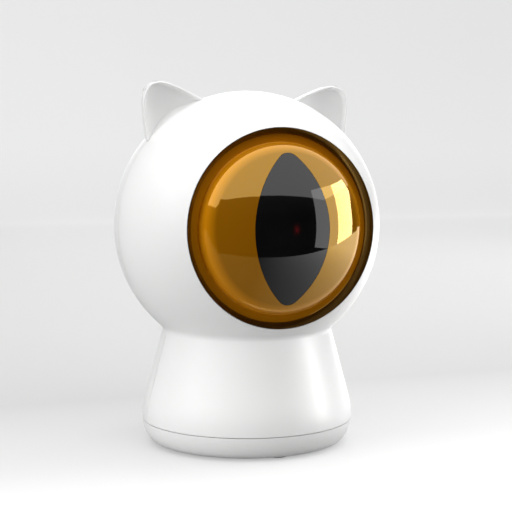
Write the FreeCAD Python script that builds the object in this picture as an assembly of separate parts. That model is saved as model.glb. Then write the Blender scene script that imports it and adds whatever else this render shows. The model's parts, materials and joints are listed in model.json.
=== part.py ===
import FreeCAD, Part
import math
import os

# Automatic cat laser toy: a round head with an eye dome on a flared pedestal.
# Millimetres. Z is up, the eye looks along -Y. Pieces are drawn about the pedestal's axis,
# then moved so that the origin is on the floor under the middle of the overall box.

V = FreeCAD.Vector
X_AXIS = V(1, 0, 0)
Y_AXIS = V(0, 1, 0)
Z_AXIS = V(0, 0, 1)

# ---- clearances
SEAM_GAP = 0.25          # shadow gap between mouldings
LOOSE_GAP = 0.3          # pieces that sit loosely in one another
CLOSE_GAP = 0.1          # pieces that meet closely in view
BEZEL_GAP = 0.15         # bezel in the head's opening, on the radius
RUNNING_GAP = 0.05       # shaft in its bearing, on the radius
THREAD_GAP = 0.03        # screw in its pilot hole, on the radius
SCREW_CLEARANCE = 0.25   # screw in a through hole, on the radius
PILOT_END = 1.0          # pilot hole beyond the tip of a case screw
SMALL_PILOT_END = 0.5    # and beyond the tip of a small screw
OVER = 1.0               # fused and cutting shapes run this far past the face they meet

# ---- housing
HEAD_RADIUS = 50.0
WALL = 2.4
FOOT_STAND = 0.8         # rubber feet stand this proud of the base
FOOT_EDGE_RADIUS = 35.3  # under-edge of the pedestal
FOOT_EDGE_RISE = 0.36    # rise per unit of outward run at the under-edge
FOOT_ROUND_RADIUS = 38.4  # end of the rounded under-edge
FOOT_ROUND_HEIGHT = 3.9
SKIRT_RADIUS = 39.8      # widest part of the pedestal
SKIRT_HEIGHT = 10.0
FLANK_RADIUS = 37.5      # pedestal half way up
FLANK_HEIGHT = 22.3
SHOULDER_RADIUS = 35.0
SHOULDER_HEIGHT = 31.6
NECK_RADIUS = 32.9       # just under the head
NECK_HEIGHT = 39.5
NECK_SINK = 4.95         # a straight neck would meet the head this far above NECK_HEIGHT
NECK_SLOPE = 0.28        # inward run per unit of height at the neck
NECK_FILLET = 2.2
BASE_SEAM_HEIGHT = 9.0
SKIN_START = 65.0        # where the turned surfaces start, degrees from +X
LIP_THICKNESS = 1.05     # tongue along the upright seam
LIP_REACH = 1.6
LIP_BREAK = 3.0          # half the break in the tongue at the very top

# ---- ears
EAR_SPREAD = 36.6        # ear axis from straight up, degrees
EAR_SINK = 1.3           # base chord of the ear under the head's radius
EAR_LENGTH = 15.6        # tip above the base chord
EAR_BASE_HALF = 13.1     # half width at the base chord
EAR_RIM = 0.85
EAR_ROOT = (1.08, -0.2)  # outline below the base chord, inside the head
EAR_SHAPE = ((1.0, 0.0), (0.85, 0.24), (0.72, 0.44), (0.575, 0.63), (0.425, 0.8), (0.27, 0.92))
EAR_FRONT = 2.0          # rim stands this far in front of the seam
EAR_AXIS_SHIFT = 6.5     # the back is turned about an axis this far in front of the seam
SCOOP_DEPTH = 3.0        # behind the rim
SCOOP_CURVE = 34.0
SCOOP_RISE = 2.0         # deepest point above the base chord
EAR_WALL = 1.6
EAR_FOOT_FILLET = 5.0
EAR_FOOT_START = 0.6     # fillet starts this far in front of the rim
EAR_FOOT_BEND = 62.0     # degrees
EAR_FOOT_SINK = 0.02     # fillet starts this far under the head's surface

# ---- eye: depths are counted back from the bezel's outer rim
DOME_RISE = 10.24        # dome's middle in front of the rim
DOME_CURVE = 58.3        # radius of the dome's face
DOME_INSET = 4.75        # dome's edge inside the bezel's radius
DOME_ROLL = 3.6          # width of the dome's rolled edge
DOME_EDGE_STEP = 0.25    # straight foot of the rolled edge
DOME_WALL = 1.8
DOME_FLANGE = 3.5        # width of the dome's flange
DOME_FLANGE_THICKNESS = 1.6
BEZEL_RADIUS = 35.35
BEZEL_FACE = 2.0         # width of the bezel's sloping face
BEZEL_SINK = 2.61        # drop of the sloping face
BEZEL_LIP = 0.5
BEZEL_SKIRT = 0.95
BEZEL_FLANGE = 1.55      # step beyond the bezel's outside
BEZEL_FLANGE_THICKNESS = 1.6
COLLAR_THICKNESS = 3.0
PUPIL_HALF_WIDTH = 14.0
PUPIL_MARGIN = 0.4       # pupil's tips inside the dome's rolled edge
PUPIL_TIP_RADIUS = 4.5
PUPIL_FLANGE = 1.6
PUPIL_FLANGE_THICKNESS = 1.2
GASKET_THICKNESS = 0.8
RETAINER_REACH = 3.55    # outside of the retainer beyond the bezel's radius
RETAINER_THICKNESS = 1.6
RETAINER_LAP = 1.4       # retainer and gasket reach this far inside the dome's edge
RETAINER_SCREW_REACH = 1.85
RETAINER_SCREW_COUNT = 4
RETAINER_BOSS_RADIUS = 2.0
RETAINER_BOSS_HEIGHT = 2.0

# ---- screws: shank radius, head radius, head height
SMALL_SHANK = 0.8
SMALL_HEAD = 1.6
SMALL_HEAD_HEIGHT = 1.1
CASE_SHANK = 1.25
CASE_HEAD = 2.3
CASE_HEAD_HEIGHT = 1.6
CASE_SCREW_LENGTH = 13.0
RETAINER_SCREW_LENGTH = 5.0
BOARD_SCREW_LENGTH = 4.4
FRAME_SCREW_LENGTH = 8.0
TIP_SHARE = 0.4          # screw tip, as a share of the shank
HEAD_ROUND_SHARE = 0.45  # rounding of a screw head, as a share of its height
CROSS_LENGTH_SHARE = 0.6  # arms of the cross recess, as shares of the head's radius
CROSS_WIDTH_SHARE = 0.27
CROSS_DEPTH_SHARE = 0.55  # and of its height

# ---- case screw places
CASE_BOSS_RADIUS = 3.4
CASE_BOSS_DEPTH = 12.0   # front bosses reach this far forward
CASE_SEAT = 7.0          # screw seat behind the seam
CASE_TUNNEL_WALL = 1.4
HEAD_SCREW_INSET = 6.73  # upper head screws inside the head's radius
HEAD_SCREW_ANGLE = 33.7  # and above its middle, degrees
NECK_SCREW_INSET = 5.4   # lower head screws inside the head's radius
NECK_SCREW_GAP = 2.5     # between their bosses and the mechanism frame
STAND_SCREW_INSET = 4.5   # pedestal screws inside its shoulder
STAND_SCREW_HEIGHT = 28.0
RIB_SPACING = 13.0       # stiffening ribs inside the rear of the head
RIB_THICKNESS = 1.2
RIB_DEPTH = 2.6
RIB_START = 24.0
RIB_TOP = 20.0

# ---- base cover
BASE_FLOOR = 2.2
BASE_TONGUE_HEIGHT = 3.0
BASE_TONGUE = 1.4
BASE_SCREW_INSET = 4.8   # screws inside the under-edge
BASE_SCREW_COUNT = 4
BASE_BOSS_RADIUS = 3.3
BASE_BOSS_TOP = 24.0
BASE_SCREW_SEAT = 6.4    # under the screw head
BASE_GUSSET_COUNT = 12
PAD_RADIUS = 5.0
PAD_INSET = 6.8          # middle of the feet inside the under-edge
PAD_COUNT = 4
PAD_SINK = 0.9

# ---- board, port, button
BOARD_SETBACK = 11.9     # rear face of the board inside the pedestal's flank
BOARD_THICKNESS = 1.2
BOARD_HALF_WIDTH = 14.0
BOARD_CORNER = 1.5
BOARD_BOTTOM = 13.6
BOARD_TOP = 35.0
BOARD_SCREW_SPREAD = 10.8
BOARD_SCREW_LOW = 16.2
BOARD_SCREW_HIGH = 32.4
BOARD_BOSS_RADIUS = 2.4
PORT_HEIGHT = 17.4
PORT_WIDTH = 8.94
PORT_THICKNESS = 3.16
PORT_SKIN = 0.3
PORT_LENGTH = 11.3
PORT_DEPTH = 6.2
TONGUE_WIDTH = 6.7
TONGUE_THICKNESS = 0.7
TONGUE_LENGTH = 4.6
BUTTON_HEIGHT = 29.0
BUTTON_RADIUS = 4.6
BUTTON_PROUD = 0.6
BUTTON_FLANGE = 1.0      # beyond the cap's radius, and its thickness
BUTTON_TRAVEL = 0.8
BUTTON_PAD_REACH = 4.6   # flat inside face for the button's flange, behind the board
BUTTON_PAD_RADIUS = 7.0
SWITCH_SIZE = 6.0
SWITCH_BODY = 2.0
SWITCH_CORNER = 0.5
SWITCH_PLUNGER = 0.2
SWITCH_PLUNGER_RADIUS = 1.7
LAMP_HEIGHT = 21.7
LAMP_RADIUS = 0.9
LAMP_BODY = 0.8
SENSOR_RADIUS = 2.4
SENSOR_LENGTH = 7.0
SENSOR_PLACE = (-8.6, 26.0)
SENSOR_GROOVE_PLACE = 4.9  # crimp groove from the board
SENSOR_GROOVE_WIDTH = 0.5
SENSOR_GROOVE_DEPTH = 0.25
# middle x, middle z, width, height, depth of the blocks on the board's front
BOARD_CHIPS = (
    (-1.0, 25.0, 7.0, 7.0, 1.2),
    (7.6, 21.0, 5.0, 6.0, 1.5),
    (-3.6, 17.4, 7.5, 4.8, 4.6),
    (5.2, 16.2, 5.0, 3.4, 3.4),
)
BOARD_CAPACITOR = (7.4, 28.2, 2.5, 6.0)  # middle x, middle z, radius, depth

# ---- battery
CELL_RADIUS = 7.05
CELL_LENGTH = 50.0
CELL_RIM = 0.8
CELL_NUB_RADIUS = 2.8
CELL_SETBACK = -7.0      # cell axis along Y
HOLDER_WALL = 1.5
HOLDER_HEIGHT = 6.6
CONTACT_ROOM = 0.7       # between the cell's end and the holder's end wall
CONTACT_HALF_WIDTH = 3.2
CONTACT_LIFT = 0.8       # contact above the underside of the cell

# ---- mechanism
GIMBAL_SETBACK = 21.86   # pan and tilt axes cross this far behind the bezel's rim
FRAME_DROP = 24.6        # top of the frame's floor under the head's centre
FRAME_THICKNESS = 2.5
FRAME_HALF_WIDTH = 24.0
FRAME_FRONT_REACH = 10.5  # floor in front of the pan axis
FRAME_REAR_REACH = 9.5   # floor behind the pan motor's shaft
FRAME_CORNER = 3.5
SLOT_SPREAD = 16.0       # wire slots in the floor
SLOT_WIDTH = 6.0
SLOT_LENGTH = 12.0
SLOT_CORNER = 2.0
CHEEK_SETBACK = 4.0      # rear face of the cheeks in front of the seam
CHEEK_INSET = 7.0        # outside of the cheeks inside the head's radius
CHEEK_WIDTH = 9.0
CHEEK_TOP_GAP = 1.4      # under the upper head screws' bosses
CHEEK_TAPER = 2.0
CHEEK_TAPER_RUN = 10.0
CHEEK_FOOT = 12.0        # foot of the cheek inside its outer edge
CHEEK_ROOT = 4.0         # cheek's inner edge inside the floor's side
CHEEK_BEND = 5.0         # inner corner above the cheek's low end
CHEEK_WINDOW = 4.0
BRACE_THICKNESS = 2.0
BRACE_REACH = 10.0
BRACE_RISE = 5.0
FRAME_SCREW_INSET = 5.5  # frame screws inside the cheek's outer edge
FRAME_SCREW_END = 4.2    # and from the cheek's ends
FRAME_BOSS_RADIUS = 3.2
FRAME_BOSS_END = 2.0     # boss beyond the screw's tip
PIVOT_RADIUS = 3.0
PIVOT_HEAD_EXTRA = 1.4   # pivot screw's head beyond the post
HUB_RADIUS = 6.6
HUB_HEIGHT = 8.4
PAN_MODULE = 0.8
PAN_SECTOR_TEETH = 40
PINION_TEETH = 10
SECTOR_THICKNESS = 2.5
SECTOR_LIFT = 0.5        # sector above the hub's foot
SECTOR_ADDENDUM = 0.6    # in modules
DEDENDUM = 1.25          # in modules
PINION_FACE = 3.6
BACKLASH = 0.12
PRESSURE_ANGLE = 20.0
PAN_SECTOR_HALF = 42.0   # degrees each side
RELIEF_SHARE = 0.78      # opening in the sector, as a share of its pitch radius
RELIEF_MARGIN = 12.0     # degrees of solid at each end of the opening
RELIEF_RING = 2.0        # solid round the hub
ARM_GAP = 13.0           # inner face of each arm from the middle
ARM_THICKNESS = 2.5
ARM_HALF_WIDTH = 6.5
ARM_MARGIN = 1.0         # round the trunnion
ARM_TAIL = 4.0           # round the tilt motor
ARM_SLOT_HALF = 2.0
ARM_SLOT_MARGIN = 4.0
YOKE_FLOOR = 2.5
TILT_MODULE = 0.6
TILT_SECTOR_TEETH = 36
TILT_SECTOR_OFFSET = 8.2
TILT_SECTOR_LOW = -54.0  # degrees from straight back
TILT_SECTOR_HIGH = 38.0
TILT_PIN_RADIUS = 1.5
TILT_PIN_LENGTH = 8.0
TILT_PIN_CHAMFER = 0.25
TRUNNION_RADIUS = 3.6
CRADLE_RADIUS = 6.7
CRADLE_FRONT = 12.0      # ahead of the tilt axis
CRADLE_REAR = 5.0
CRADLE_SLIT = 1.2
BARREL_RADIUS = 4.5
BARREL_FRONT = 20.0
BARREL_REAR = 7.0
BARREL_BORE = 3.1
BARREL_BACK = 2.0        # solid end
BEAM_BORE = 1.2
GRIP_COUNT = 3
GRIP_START = 1.6         # first groove in front of the cradle
GRIP_PITCH = 1.4
GRIP_WIDTH = 0.6
GRIP_DEPTH = 0.3
HOOD_LENGTH = 9.2
HOOD_OVERLAP = 2.0
HOOD_WALL = 0.6
HOOD_TIP_RADIUS = 3.3
HOOD_END = 1.0
HOOD_BORE = 1.8
LENS_RADIUS = 2.9
LENS_THICKNESS = 1.8
LENS_SINK = 0.5          # lens behind the barrel's mouth
LASER_BOARD_RADIUS = 4.2
LASER_BOARD_THICKNESS = 1.0
LASER_CHIP = (2.4, 2.5, 0.6)  # width, height, depth
LASER_CHIP_RISE = -0.75
PAN_MOTOR_RADIUS = 7.5
PAN_MOTOR_LENGTH = 12.0
TILT_MOTOR_RADIUS = 6.0
TILT_MOTOR_LENGTH = 10.0
MOTOR_BOSS_RADIUS = 2.2
MOTOR_BOSS_HEIGHT = 1.5
MOTOR_FLANGE = 1.0
MOTOR_ROUND = 0.8
MOTOR_LUG = 2.2          # rounding of the motor's screw lugs
MOTOR_LUG_REACH = 1.25   # lug screws beyond the motor's radius
TERMINAL_DEPTH = 2.4     # block for the motor's wires
TERMINAL_PROUD = 1.6
TERMINAL_START = 0.8     # its far and near ends, as shares of the motor's length
TERMINAL_END = 0.2
PAN_SHAFT_RADIUS = 1.0
TILT_SHAFT_RADIUS = 0.75
MOTOR_SCREW_LENGTH = 3.2
PIVOT_SCREW_LENGTH = 6.0

# ---- derived places: the head
HEAD_HEIGHT = NECK_HEIGHT + NECK_SINK + math.sqrt(HEAD_RADIUS ** 2 - NECK_RADIUS ** 2)
EAR_SEAT = HEAD_RADIUS - EAR_SINK
HALF_GAP = SEAM_GAP / 2
FAR = 2 * HEAD_RADIUS
TOP = 2 * HEAD_HEIGHT
PORT_FACE = FLANK_RADIUS - BOARD_SETBACK + PORT_LENGTH
BOARD_REAR = FLANK_RADIUS - BOARD_SETBACK
BOARD_FRONT = BOARD_REAR - BOARD_THICKNESS
BUTTON_PAD_FACE = BOARD_REAR + BUTTON_PAD_REACH
PLUNGER_FACE = BOARD_REAR + SWITCH_BODY + SWITCH_PLUNGER
BASE_FLOOR_TOP = FOOT_STAND + BASE_FLOOR
TONGUE_TOP = BASE_SEAM_HEIGHT + BASE_TONGUE_HEIGHT
LIP_BOTTOM = TONGUE_TOP + 2 * LOOSE_GAP
BASE_SCREW_CIRCLE = FOOT_EDGE_RADIUS - BASE_SCREW_INSET
PAD_CIRCLE = FOOT_EDGE_RADIUS - PAD_INSET
CELL_HEIGHT = BASE_FLOOR_TOP + HOLDER_WALL + CELL_RADIUS + LOOSE_GAP

# ---- derived places: the eye, as distances in front of the head's centre
RIM_DEPTH = math.sqrt(HEAD_RADIUS ** 2 - BEZEL_RADIUS ** 2)
DOME_APEX = RIM_DEPTH + DOME_RISE
BEZEL_INNER_DEPTH = RIM_DEPTH - BEZEL_SINK
LIP_REAR = BEZEL_INNER_DEPTH - BEZEL_LIP
DOME_EDGE_DEPTH = LIP_REAR + DOME_EDGE_STEP
DOME_EDGE_RADIUS = BEZEL_RADIUS - DOME_INSET
DOME_CAP_RADIUS = DOME_EDGE_RADIUS - DOME_ROLL
DOME_FLANGE_RADIUS = DOME_EDGE_RADIUS + DOME_FLANGE
PUPIL_HALF_HEIGHT = DOME_CAP_RADIUS - PUPIL_MARGIN
FLANGE_REAR = LIP_REAR - DOME_FLANGE_THICKNESS
GASKET_REAR = FLANGE_REAR - GASKET_THICKNESS
GASKET_OUTER = DOME_FLANGE_RADIUS - LOOSE_GAP
RETAINER_INNER = DOME_EDGE_RADIUS - RETAINER_LAP
RETAINER_OUTER = BEZEL_RADIUS + RETAINER_REACH
RETAINER_SCREW_CIRCLE = BEZEL_RADIUS + RETAINER_SCREW_REACH
RETAINER_TOP = math.sqrt((HEAD_RADIUS - WALL) ** 2 - (RETAINER_OUTER + LOOSE_GAP) ** 2)
RETAINER_BOTTOM = RETAINER_TOP - RETAINER_THICKNESS
COLLAR_DEPTH = RETAINER_TOP + RETAINER_BOSS_HEIGHT
BEZEL_REAR = COLLAR_DEPTH - BEZEL_FLANGE_THICKNESS
OPENING_RADIUS = BEZEL_RADIUS + BEZEL_GAP
MIDDLE = V(0, (DOME_APEX - HEAD_RADIUS) / 2, 0)

# ---- derived places: the mechanism
GIMBAL_REACH = RIM_DEPTH - GIMBAL_SETBACK
PAN_Y = -GIMBAL_REACH
PAN_PITCH = PAN_MODULE * PAN_SECTOR_TEETH / 2
PAN_PINION_PITCH = PAN_MODULE * PINION_TEETH / 2
PAN_PINION_Y = PAN_Y + PAN_PITCH + PAN_PINION_PITCH
TILT_PITCH = TILT_MODULE * TILT_SECTOR_TEETH / 2
TILT_PINION_PITCH = TILT_MODULE * PINION_TEETH / 2
TILT_PINION_Y = PAN_Y + TILT_PITCH + TILT_PINION_PITCH
FRAME_TOP = HEAD_HEIGHT - FRAME_DROP
FRAME_BOTTOM = FRAME_TOP - FRAME_THICKNESS
FRAME_FRONT = PAN_Y - FRAME_FRONT_REACH
FRAME_REAR = PAN_PINION_Y + FRAME_REAR_REACH
HUB_BOTTOM = FRAME_TOP + LOOSE_GAP
HUB_TOP = HUB_BOTTOM + HUB_HEIGHT
SECTOR_BOTTOM = HUB_BOTTOM + SECTOR_LIFT
YOKE_FLOOR_BOTTOM = SECTOR_BOTTOM + SECTOR_THICKNESS
ARM_OUTER = ARM_GAP + ARM_THICKNESS

# ---- derived places: the case screws, x and height over the head's centre
HEAD_SCREW_SPREAD = (HEAD_RADIUS - HEAD_SCREW_INSET) * math.cos(math.radians(HEAD_SCREW_ANGLE))
HEAD_SCREW_RISE = (HEAD_RADIUS - HEAD_SCREW_INSET) * math.sin(math.radians(HEAD_SCREW_ANGLE))
NECK_SCREW_DROP = FRAME_DROP + FRAME_THICKNESS + NECK_SCREW_GAP + CASE_BOSS_RADIUS
NECK_SCREW_SPREAD = math.sqrt((HEAD_RADIUS - NECK_SCREW_INSET) ** 2 - NECK_SCREW_DROP ** 2)
STAND_SCREW_SPREAD = SHOULDER_RADIUS - STAND_SCREW_INSET
CHEEK_OUTER = HEAD_RADIUS - CHEEK_INSET
CHEEK_INNER = CHEEK_OUTER - CHEEK_WIDTH
CHEEK_RISE = HEAD_SCREW_RISE - CASE_BOSS_RADIUS - CHEEK_TOP_GAP
CHEEK_FACE = -CHEEK_SETBACK - FRAME_THICKNESS
FRAME_SCREW_SPREAD = CHEEK_OUTER - FRAME_SCREW_INSET
FRAME_SCREW_RISE = CHEEK_RISE - FRAME_SCREW_END
FRAME_BOSS_FRONT = -CHEEK_SETBACK - FRAME_SCREW_LENGTH - PILOT_END - FRAME_BOSS_END


# ------------------------------------------------------------------ helpers

def box(x0, x1, y0, y1, z0, z1):
    return Part.makeBox(x1 - x0, y1 - y0, z1 - z0, V(x0, y0, z0))


def rod_x(y, z, x0, x1, radius):
    return Part.makeCylinder(radius, x1 - x0, V(x0, y, z), X_AXIS)


def rod_y(x, z, y0, y1, radius):
    return Part.makeCylinder(radius, y1 - y0, V(x, y0, z), Y_AXIS)


def rod_z(x, y, z0, z1, radius):
    return Part.makeCylinder(radius, z1 - z0, V(x, y, z0), Z_AXIS)


def mirrored(shape):
    return shape.mirror(V(0, 0, 0), X_AXIS)


def both_sides(shape):
    return [shape, mirrored(shape)]


def single(shape):
    solids = shape.removeSplitter().Solids
    if len(solids) != 1:
        raise ValueError("expected one solid, found %d" % len(solids))
    return solids[0]


def face_of(edges):
    return Part.Face(Part.Wire(Part.__sortEdges__(edges)))


def polygon_face(points):
    return Part.Face(Part.makePolygon(points + [points[0]]))


def rounded_plate(points, radius, direction):
    # Flat outline pushed along direction, with the corners that run that way rounded.
    solid = polygon_face(points).extrude(direction)
    along = V(direction).normalize()
    corners = []
    for edge in solid.Edges:
        run = edge.Vertexes[-1].Point.sub(edge.Vertexes[0].Point).normalize()
        if abs(abs(run.dot(along)) - 1) < 1e-6:
            corners.append(edge)
    return solid.makeFillet(radius, corners)


def on_circle(count, radius, start):
    # Places on a circle as pairs, counted from start degrees.
    step = 2 * math.pi / count
    angles = [math.radians(start) + step * i for i in range(count)]
    return [(radius * math.cos(a), radius * math.sin(a)) for a in angles]


def aimed(shape, point, direction):
    # Shape drawn about +Z, turned so that +Z looks along direction.
    turned = shape.copy()
    turned.Placement = FreeCAD.Placement(point, FreeCAD.Rotation(Z_AXIS, direction))
    return turned


def screw(shank, head, head_height, length):
    # Pan-head screw, seat at the origin, head above, with a cross recess and a pointed tip.
    stem = Part.makeCylinder(shank, length - shank, V(0, 0, -length + shank))
    tip = Part.makeCone(shank * TIP_SHARE, shank, shank, V(0, 0, -length))
    cap = Part.makeCylinder(head, head_height)
    rim = [e for e in cap.Edges if abs(e.BoundBox.ZMin - head_height) < 1e-6]
    rim = [e for e in rim if e.BoundBox.XLength > head]
    cap = cap.makeFillet(head_height * HEAD_ROUND_SHARE, rim)
    arm = head * CROSS_LENGTH_SHARE
    half = arm * CROSS_WIDTH_SHARE / 1.2
    floor = head_height * (1 - CROSS_DEPTH_SHARE)
    cross = [box(-arm, arm, -half, half, floor, head_height)]
    cross.append(box(-half, half, -arm, arm, floor, head_height))
    return single(cap.fuse([stem, tip]).cut(cross))


def obround_y(width, thickness, x, z, y0, y1):
    # Slot shape along Y, its long side along X.
    half = (width - thickness) / 2
    radius = thickness / 2
    middle = box(x - half, x + half, y0, y1, z - radius, z + radius)
    ends = [rod_y(x + side * half, z, y0, y1, radius) for side in (-1, 1)]
    return middle.fuse(ends).removeSplitter()


# ------------------------------------------------------------------ gears

def involute(angle):
    return math.tan(angle) - angle


def polar(radius, angle):
    return V(radius * math.cos(angle), radius * math.sin(angle), 0)


def arc_about(radius, start, end):
    middle = polar(radius, (start + end) / 2)
    return Part.Arc(polar(radius, start), middle, polar(radius, end)).toShape()


def gear_blank(module, teeth, addendum, phase, thickness):
    # Whole spur gear about Z with involute flanks; one tooth is centred at phase (radians).
    pressure = math.radians(PRESSURE_ANGLE)
    pitch = module * teeth / 2
    base = pitch * math.cos(pressure)
    tip = pitch + module * addendum
    root = pitch - module * DEDENDUM
    step = 2 * math.pi / teeth
    half_tooth = step / 4 - BACKLASH / (4 * pitch) + involute(pressure)
    start = max(base * 1.0005, root)
    radii = [start + (tip - start) * i / 4 for i in range(5)]
    spread = [half_tooth - involute(math.acos(base / r)) for r in radii]
    edges = []
    for i in range(teeth):
        centre = phase + i * step
        rising = [polar(r, centre - s) for r, s in zip(radii, spread)]
        falling = [polar(r, centre + s) for r, s in zip(radii, spread)][::-1]
        if root < start:
            edges.append(Part.makeLine(polar(root, centre - spread[0]), rising[0]))
        edges.append(spline_edge(rising))
        edges.append(arc_about(tip, centre - spread[-1], centre + spread[-1]))
        edges.append(spline_edge(falling))
        if root < start:
            edges.append(Part.makeLine(falling[-1], polar(root, centre + spread[0])))
        edges.append(arc_about(root, centre + spread[0], centre + step - spread[0]))
    return Part.Face(Part.Wire(edges)).extrude(V(0, 0, thickness))


def spline_edge(points):
    curve = Part.BSplineCurve()
    curve.interpolate(points)
    return curve.toShape()


def sector_of(gear, radius, low, high, thickness):
    # Keeps the part of a gear between two directions, in degrees.
    count = 6
    spread = [math.radians(low + (high - low) * i / count) for i in range(count + 1)]
    fan = [V(0, 0, 0)] + [polar(radius * 1.5, a) for a in spread]
    return gear.common(polygon_face(fan).extrude(V(0, 0, thickness)))


def onto_x(shape, x, y, z):
    # Turns a shape drawn about Z so that it lies about X, and moves it.
    turned = shape.copy()
    turned.Placement = FreeCAD.Placement(V(x, y, z), FreeCAD.Rotation(V(1, 1, 1), 120))
    return turned


# ------------------------------------------------------------------ housing skin

SKINS = {}


def skin_edges(inset):
    # Half section of head and pedestal, moved inward by inset: the flank is one curve from
    # the under-edge to the neck, and a fillet carries the neck's slope into the head.
    length = math.hypot(1, NECK_SLOPE)
    run = V(-NECK_SLOPE / length, 0, 1 / length)
    out = V(1 / length, 0, NECK_SLOPE / length)
    head = HEAD_RADIUS - inset
    centre = V(0, 0, HEAD_HEIGHT)
    neck = V(NECK_RADIUS, 0, NECK_HEIGHT).sub(out * inset)
    fillet = NECK_FILLET + inset
    offset = neck.add(out * fillet).sub(centre)
    along = offset.dot(run)
    beyond = offset.dot(offset) - (head + fillet) ** 2
    slide = -along - math.sqrt(along * along - beyond)
    middle = centre.add(offset).add(run * slide)
    flank_end = middle.sub(out * fillet)
    towards = middle.sub(centre).normalize()
    head_start = centre.add(towards * head)
    bend = flank_end.sub(middle).normalize().sub(towards).normalize()
    stations = [(FOOT_EDGE_RADIUS, FOOT_STAND), (FOOT_ROUND_RADIUS, FOOT_ROUND_HEIGHT)]
    stations += [(SKIRT_RADIUS, SKIRT_HEIGHT), (FLANK_RADIUS, FLANK_HEIGHT)]
    stations += [(SHOULDER_RADIUS, SHOULDER_HEIGHT)]
    points = [V(radius - inset, 0, height) for radius, height in stations] + [neck]
    flank = Part.BSplineCurve()
    start = V(1, 0, FOOT_EDGE_RISE).normalize()
    flank.interpolate(Points=points, InitialTangent=start, FinalTangent=run, Scale=False)
    pole = V(0, 0, HEAD_HEIGHT + head)
    foot = V(0, 0, FOOT_STAND)
    return [
        Part.makeLine(foot, points[0]),
        flank.toShape(),
        Part.makeLine(neck, flank_end),
        Part.Arc(flank_end, middle.add(bend * fillet), head_start).toShape(),
        Part.Arc(head_start, V(head, 0, HEAD_HEIGHT), pole).toShape(),
        Part.makeLine(pole, foot),
    ]


def skin(inset):
    # Solid of the whole outside, moved inward by inset. Its surfaces start at the rear,
    # clear of the upright seam and of the rear's holes.
    key = round(inset, 4)
    if key not in SKINS:
        solid = Part.Face(Part.Wire(skin_edges(inset))).revolve(V(0, 0, 0), Z_AXIS, 360)
        solid.rotate(V(0, 0, 0), Z_AXIS, SKIN_START)
        SKINS[key] = solid
    return SKINS[key]


def layer(y0, y1, z0, z1):
    return box(-FAR, FAR, y0, y1, z0, z1)


def head_places(spread, rise):
    return [(spread, HEAD_HEIGHT + rise), (-spread, HEAD_HEIGHT + rise)]


def case_screw_places():
    places = head_places(HEAD_SCREW_SPREAD, HEAD_SCREW_RISE)
    places += head_places(NECK_SCREW_SPREAD, -NECK_SCREW_DROP)
    places += [(STAND_SCREW_SPREAD, STAND_SCREW_HEIGHT)]
    places += [(-STAND_SCREW_SPREAD, STAND_SCREW_HEIGHT)]
    return places


def frame_screw_places():
    places = head_places(FRAME_SCREW_SPREAD, FRAME_SCREW_RISE)
    return places + head_places(FRAME_SCREW_SPREAD, -FRAME_SCREW_RISE)


def board_screw_places():
    heights = (BOARD_SCREW_LOW, BOARD_SCREW_HIGH)
    return [(side * BOARD_SCREW_SPREAD, z) for side in (-1, 1) for z in heights]


def retainer_screw_places():
    spots = on_circle(RETAINER_SCREW_COUNT, RETAINER_SCREW_CIRCLE, 45)
    return [(x, HEAD_HEIGHT + z) for x, z in spots]


def base_screw_places():
    return on_circle(BASE_SCREW_COUNT, BASE_SCREW_CIRCLE, 45)


def inside(shape):
    # Trims what is fused to the wall so that it ends within the wall.
    return shape.common(skin(WALL / 2))


def web_y(x, z, y0, y1, middle_height):
    # Flat rib from a boss along Y out to the wall, away from (0, middle_height).
    angle = math.degrees(math.atan2(z - middle_height, abs(x)))
    rib = box(0, HEAD_RADIUS, y0, y1, -WALL / 3, WALL / 3)
    rib.rotate(V(0, 0, 0), Y_AXIS, -angle)
    rib.translate(V(abs(x), 0, z))
    return rib if x > 0 else mirrored(rib)


def web_z(x, y, z0, z1):
    rib = box(0, HEAD_RADIUS, -WALL / 3, WALL / 3, z0, z1)
    rib.rotate(V(0, 0, 0), Z_AXIS, math.degrees(math.atan2(y, x)))
    rib.translate(V(x, y, 0))
    return rib


def middle_for(z):
    # Bosses in the head lean out from its centre, those in the pedestal straight out.
    return HEAD_HEIGHT if z > NECK_HEIGHT else z


def base_bosses(front):
    # Upright bosses for the base cover's screws, in one half of the pedestal.
    made = []
    for x, y in base_screw_places():
        if (y < 0) == front:
            made.append(rod_z(x, y, TONGUE_TOP, BASE_BOSS_TOP, BASE_BOSS_RADIUS))
            made.append(web_z(x, y, LIP_BOTTOM, BASE_BOSS_TOP))
    return [inside(piece) for piece in made]


def base_pilots():
    tip = BASE_SCREW_SEAT + CASE_SCREW_LENGTH + PILOT_END
    bore = CASE_SHANK + THREAD_GAP
    return [rod_z(x, y, TONGUE_TOP - OVER, tip, bore) for x, y in base_screw_places()]


# ------------------------------------------------------------------ ears

def ear_points(shift, inset):
    # One side of the ear from base to tip, as distances from an axis set forward by shift
    # and heights over the head's centre, moved inward by inset.
    shape = [(u * EAR_BASE_HALF, v * EAR_LENGTH) for u, v in (EAR_ROOT,) + EAR_SHAPE]
    shape.append((0, EAR_LENGTH))
    shape = [(math.hypot(u, shift), v) for u, v in shape]
    moved = [(shape[0][0] - inset, shape[0][1])]
    for before, here, after in zip(shape, shape[1:], shape[2:]):
        run = V(after[0] - before[0], 0, after[1] - before[1]).normalize()
        moved.append((here[0] - run.z * inset, here[1] + run.x * inset))
    moved.append((shift, EAR_LENGTH - inset))
    return [V(u, 0, EAR_SEAT + v) for u, v in moved]


def ear_curve(points):
    curve = Part.BSplineCurve()
    first = points[1].sub(points[0]).normalize()
    curve.interpolate(Points=points, InitialTangent=first, FinalTangent=V(-1, 0, 0))
    return curve.toShape()


def set_ear(shape, plane):
    # Leans a shape drawn straight above the head's centre out to the ear's place.
    shape.rotate(V(0, 0, 0), Y_AXIS, EAR_SPREAD)
    shape.translate(V(0, plane, HEAD_HEIGHT))
    return shape


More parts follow.
